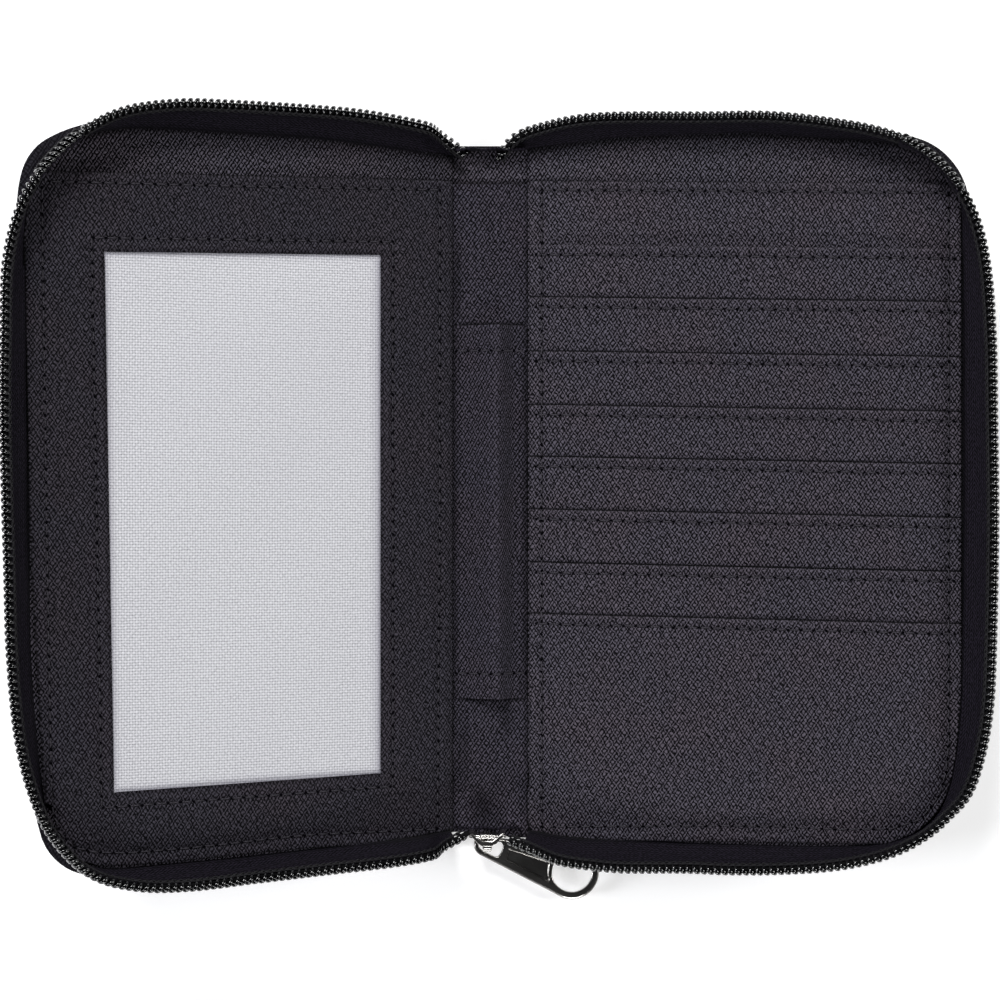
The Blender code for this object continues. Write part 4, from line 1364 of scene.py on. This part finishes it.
def pull_tab():
    """Tapered pull: a long eye round the bridge, a blank sunk plate and a ring with a round hole."""
    zc = JOINTS["pull_swing"]["pos_m"][2] / MM
    ring_c, ring_r, hole_r = np.array([17.9, -83.75]), 6.0, 4.3
    eye_c, eye_r = np.array([-0.95, -77.75]), 2.66
    axis = ring_c - eye_c
    length = float(np.linalg.norm(axis))
    axis_deg = math.degrees(math.atan2(axis[1], axis[0]))
    lean = math.degrees(math.asin((ring_r - eye_r) / length))
    outline = arc(ring_c[0], ring_c[1], ring_r, axis_deg - 90 - lean, axis_deg + 90 + lean, 40)
    outline += arc(eye_c[0], eye_c[1], eye_r, axis_deg + 90 + lean, axis_deg + 270 - lean, 24)
    flat = -76.15                      # the eye is flattened where it passes the slider
    outline = [(x, min(y, flat - 0.10 * max(0.0, x - 2.0)) if x < 6.0 else y) for x, y in outline]
    eye = [(-2.55, -77.6), (-2.25, -78.45), (-1.5, -79.15), (1.1, -80.35), (1.75, -80.3), (2.35, -79.5),
           (2.75, -78.5), (2.8, -77.7), (2.4, -77.15), (1.6, -77.0), (-1.6, -77.0), (-2.25, -77.15)]
    ring = arc(ring_c[0], ring_c[1], hole_r, 0, 354, 47)
    ob = rounded_plate("pull_tab_metal", outline, [eye, ring], zc - 0.85, zc + 0.85, 0.70, M_METAL, 7, 0.28)
    end = arc(ring_c[0], ring_c[1], 5.35, 158, 202, 8)
    tray = [(4.2, -78.85), (3.75, -81.0), (8.3, -83.2)] + end[::-1] + [(8.2, -80.2)]
    for side in (1, -1):
        floor_z, out_z = zc + side * 0.45, zc + side * 1.5
        cut(ob, tapered_tool("tray_tool", tray, floor_z, out_z, 0.75, M_METAL_IN))
    auto_smooth(ob, 50)
    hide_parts("pull_tab")
    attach(ob, "pull")


pull_tab()


def upright(ob, cx):
    """Turn a drawing made in x, z with depth as its third axis to stand in the room."""
    ob.data.transform(Matrix(((1, 0, 0, cx * MM), (0, 0, -1, 0), (0, 1, 0, 0), (0, 0, 0, 1))))


def join_parts(name, parts, mat):
    bm = bmesh.new()
    for ob in parts:
        bm.from_mesh(ob.data)
    me = bpy.data.meshes.new(name)
    bm.to_mesh(me)
    bm.free()
    for ob in parts:
        bpy.data.objects.remove(ob, do_unlink=True)
    me.materials.append(mat)
    ob = placed(name, me)
    auto_smooth(ob, 45)
    return ob


def slider():
    """Slider on edge at the spine's end: two wings, the wedge between them, and a keel-shaped nose."""
    lo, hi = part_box("slider_body")
    cx = (lo.x + hi.x) / 2 / MM
    wing = [(-2.4, 0.6), (2.4, 0.6), (3.0, 2.4), (3.5, 4.4), (4.05, 6.0), (4.1, 7.4), (3.2, 8.2),
            (1.6, 8.45), (0.0, 8.2), (-1.6, 8.45), (-3.2, 8.2), (-4.1, 7.4), (-4.05, 6.0), (-3.5, 4.4),
            (-3.0, 2.4)]
    parts = []
    for k, (y0, y1) in enumerate(((75.65, 76.05), (75.15, 75.5))):
        ob = polygon_prism("wing%d" % k, wing, y0, y1, M_METAL)
        bevelled(ob, 0.16, 3)
        apply_all(ob)
        for v in ob.data.vertices:          # the wings' long sides curl towards each other
            curl = 0.12 * min(1.0, abs(v.co.x) / MM / 4.0) ** 3
            v.co.z += (-curl if k == 0 else curl) * MM
        upright(ob, cx)
        parts.append(ob)
    wedge = polygon_prism("wedge", [(-0.8, 4.6), (0.0, 3.4), (0.8, 4.6), (1.3, 7.2), (0.9, 8.0),
                                    (-0.9, 8.0), (-1.3, 7.2)], 75.3, 75.8, M_METAL)
    upright(wedge, cx)
    parts.append(wedge)
    keel = [(-3.85, -74.9), (-3.1, -76.0), (-2.1, -77.1), (-1.1, -77.8), (1.1, -77.8), (2.1, -77.1),
            (3.1, -76.0), (3.85, -74.9), (3.0, -74.9), (2.2, -75.75), (1.1, -76.5), (-1.1, -76.5),
            (-2.2, -75.75), (-3.0, -74.9)]
    nose = rounded_plate("nose", [(x + cx, y) for x, y in keel], [], 5.75, 8.35, 0.26, M_METAL, 4)
    for v in nose.data.vertices:            # its sides slope in towards the bottom
        v.co.y += max(0.0, 8.35 * MM - v.co.z) * 0.28
    parts.append(nose)
    body = join_parts("slider_body_metal", parts, M_METAL)
    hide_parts("slider_body")
    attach(body, "slider")

    # the bridge: a stamped strap standing off the front wing, from the nose down to its tail
    outer = [(76.4, 7.9), (78.2, 7.8), (78.8, 7.3), (79.05, 6.7), (79.1, 6.0), (79.1, 3.2), (78.8, 2.3),
             (78.1, 1.75), (75.9, 1.6)]
    inner = [(75.9, 2.4), (77.7, 2.45), (78.3, 2.7), (78.5, 3.2), (78.5, 6.0), (78.2, 6.35), (77.3, 6.4),
             (76.4, 6.4)]
    ob = polygon_prism("slider_bridge_metal", [(-y, z) for y, z in outer + inner], -0.98, 0.98, M_METAL)
    for v in ob.data.vertices:              # it necks in where the pull's eye turns on it
        if 2.9 * MM < v.co.y < 6.1 * MM:
            v.co.z *= 0.31
    ob.data.transform(Matrix(((0, 0, 1, cx * MM), (1, 0, 0, 0), (0, 1, 0, 0), (0, 0, 0, 1))))
    bevelled(ob, 0.14, 3)
    apply_all(ob)
    auto_smooth(ob, 45)
    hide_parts("slider_bridge")
    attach(ob, "slider")


slider()

# ------------------------------------------------------------------ the stop at the closed end
def end_stop():
    """A bar tack of thread lying across the spine's top edge."""
    verts, faces = [], []
    for k in range(9):
        x = -2.0 + 0.5 * k
        faces += tube_faces(4, 6, len(verts))
        for cx, cy, cz in ((x, 74.55, 1.3), (x + 0.08, 74.85, 2.1), (x, 74.8, 3.0), (x + 0.08, 74.55, 3.5)):
            verts += [(cx + 0.24 * c, cy + 0.2 * sn, cz) for c, sn in HEX]
    ob = make_object("zip_end_bar_tack", verts, faces, M_THREAD)
    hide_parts("zip_end_stop")
    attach(ob, "spine")


end_stop()

# ------------------------------------------------------------------ carried-over hidden parts
for node, mat in (("left_stiffener_board", M_BOARD), ("right_stiffener_board", M_BOARD),
                  ("left_shield_liner", M_FOIL), ("right_shield_liner", M_FOIL)):
    me = frame["nodes"][node].data
    me.materials.clear()
    me.materials.append(mat)


# ------------------------------------------------------------------ floor
def floor():
    m = Nodes("paper_floor")
    grain = m.noise(m.place(), 30.0, 4.0)
    col = m.mix(grain, (0.90, 0.90, 0.90), (0.92, 0.92, 0.92))
    mat = m.finish(col, 0.9, m.bump(grain, 0.02, 0.1 * MM), Emission_Strength=0.38)
    m.shader.inputs["Emission Color"].default_value = (1.0, 1.0, 1.0, 1.0)
    bm = bmesh.new()
    bmesh.ops.create_grid(bm, x_segments=8, y_segments=8, size=3.0)
    me = bpy.data.meshes.new("floor")
    bm.to_mesh(me)
    bm.free()
    me.materials.append(mat)
    ob = placed("floor", me)
    ob.location.z = -0.0002


floor()
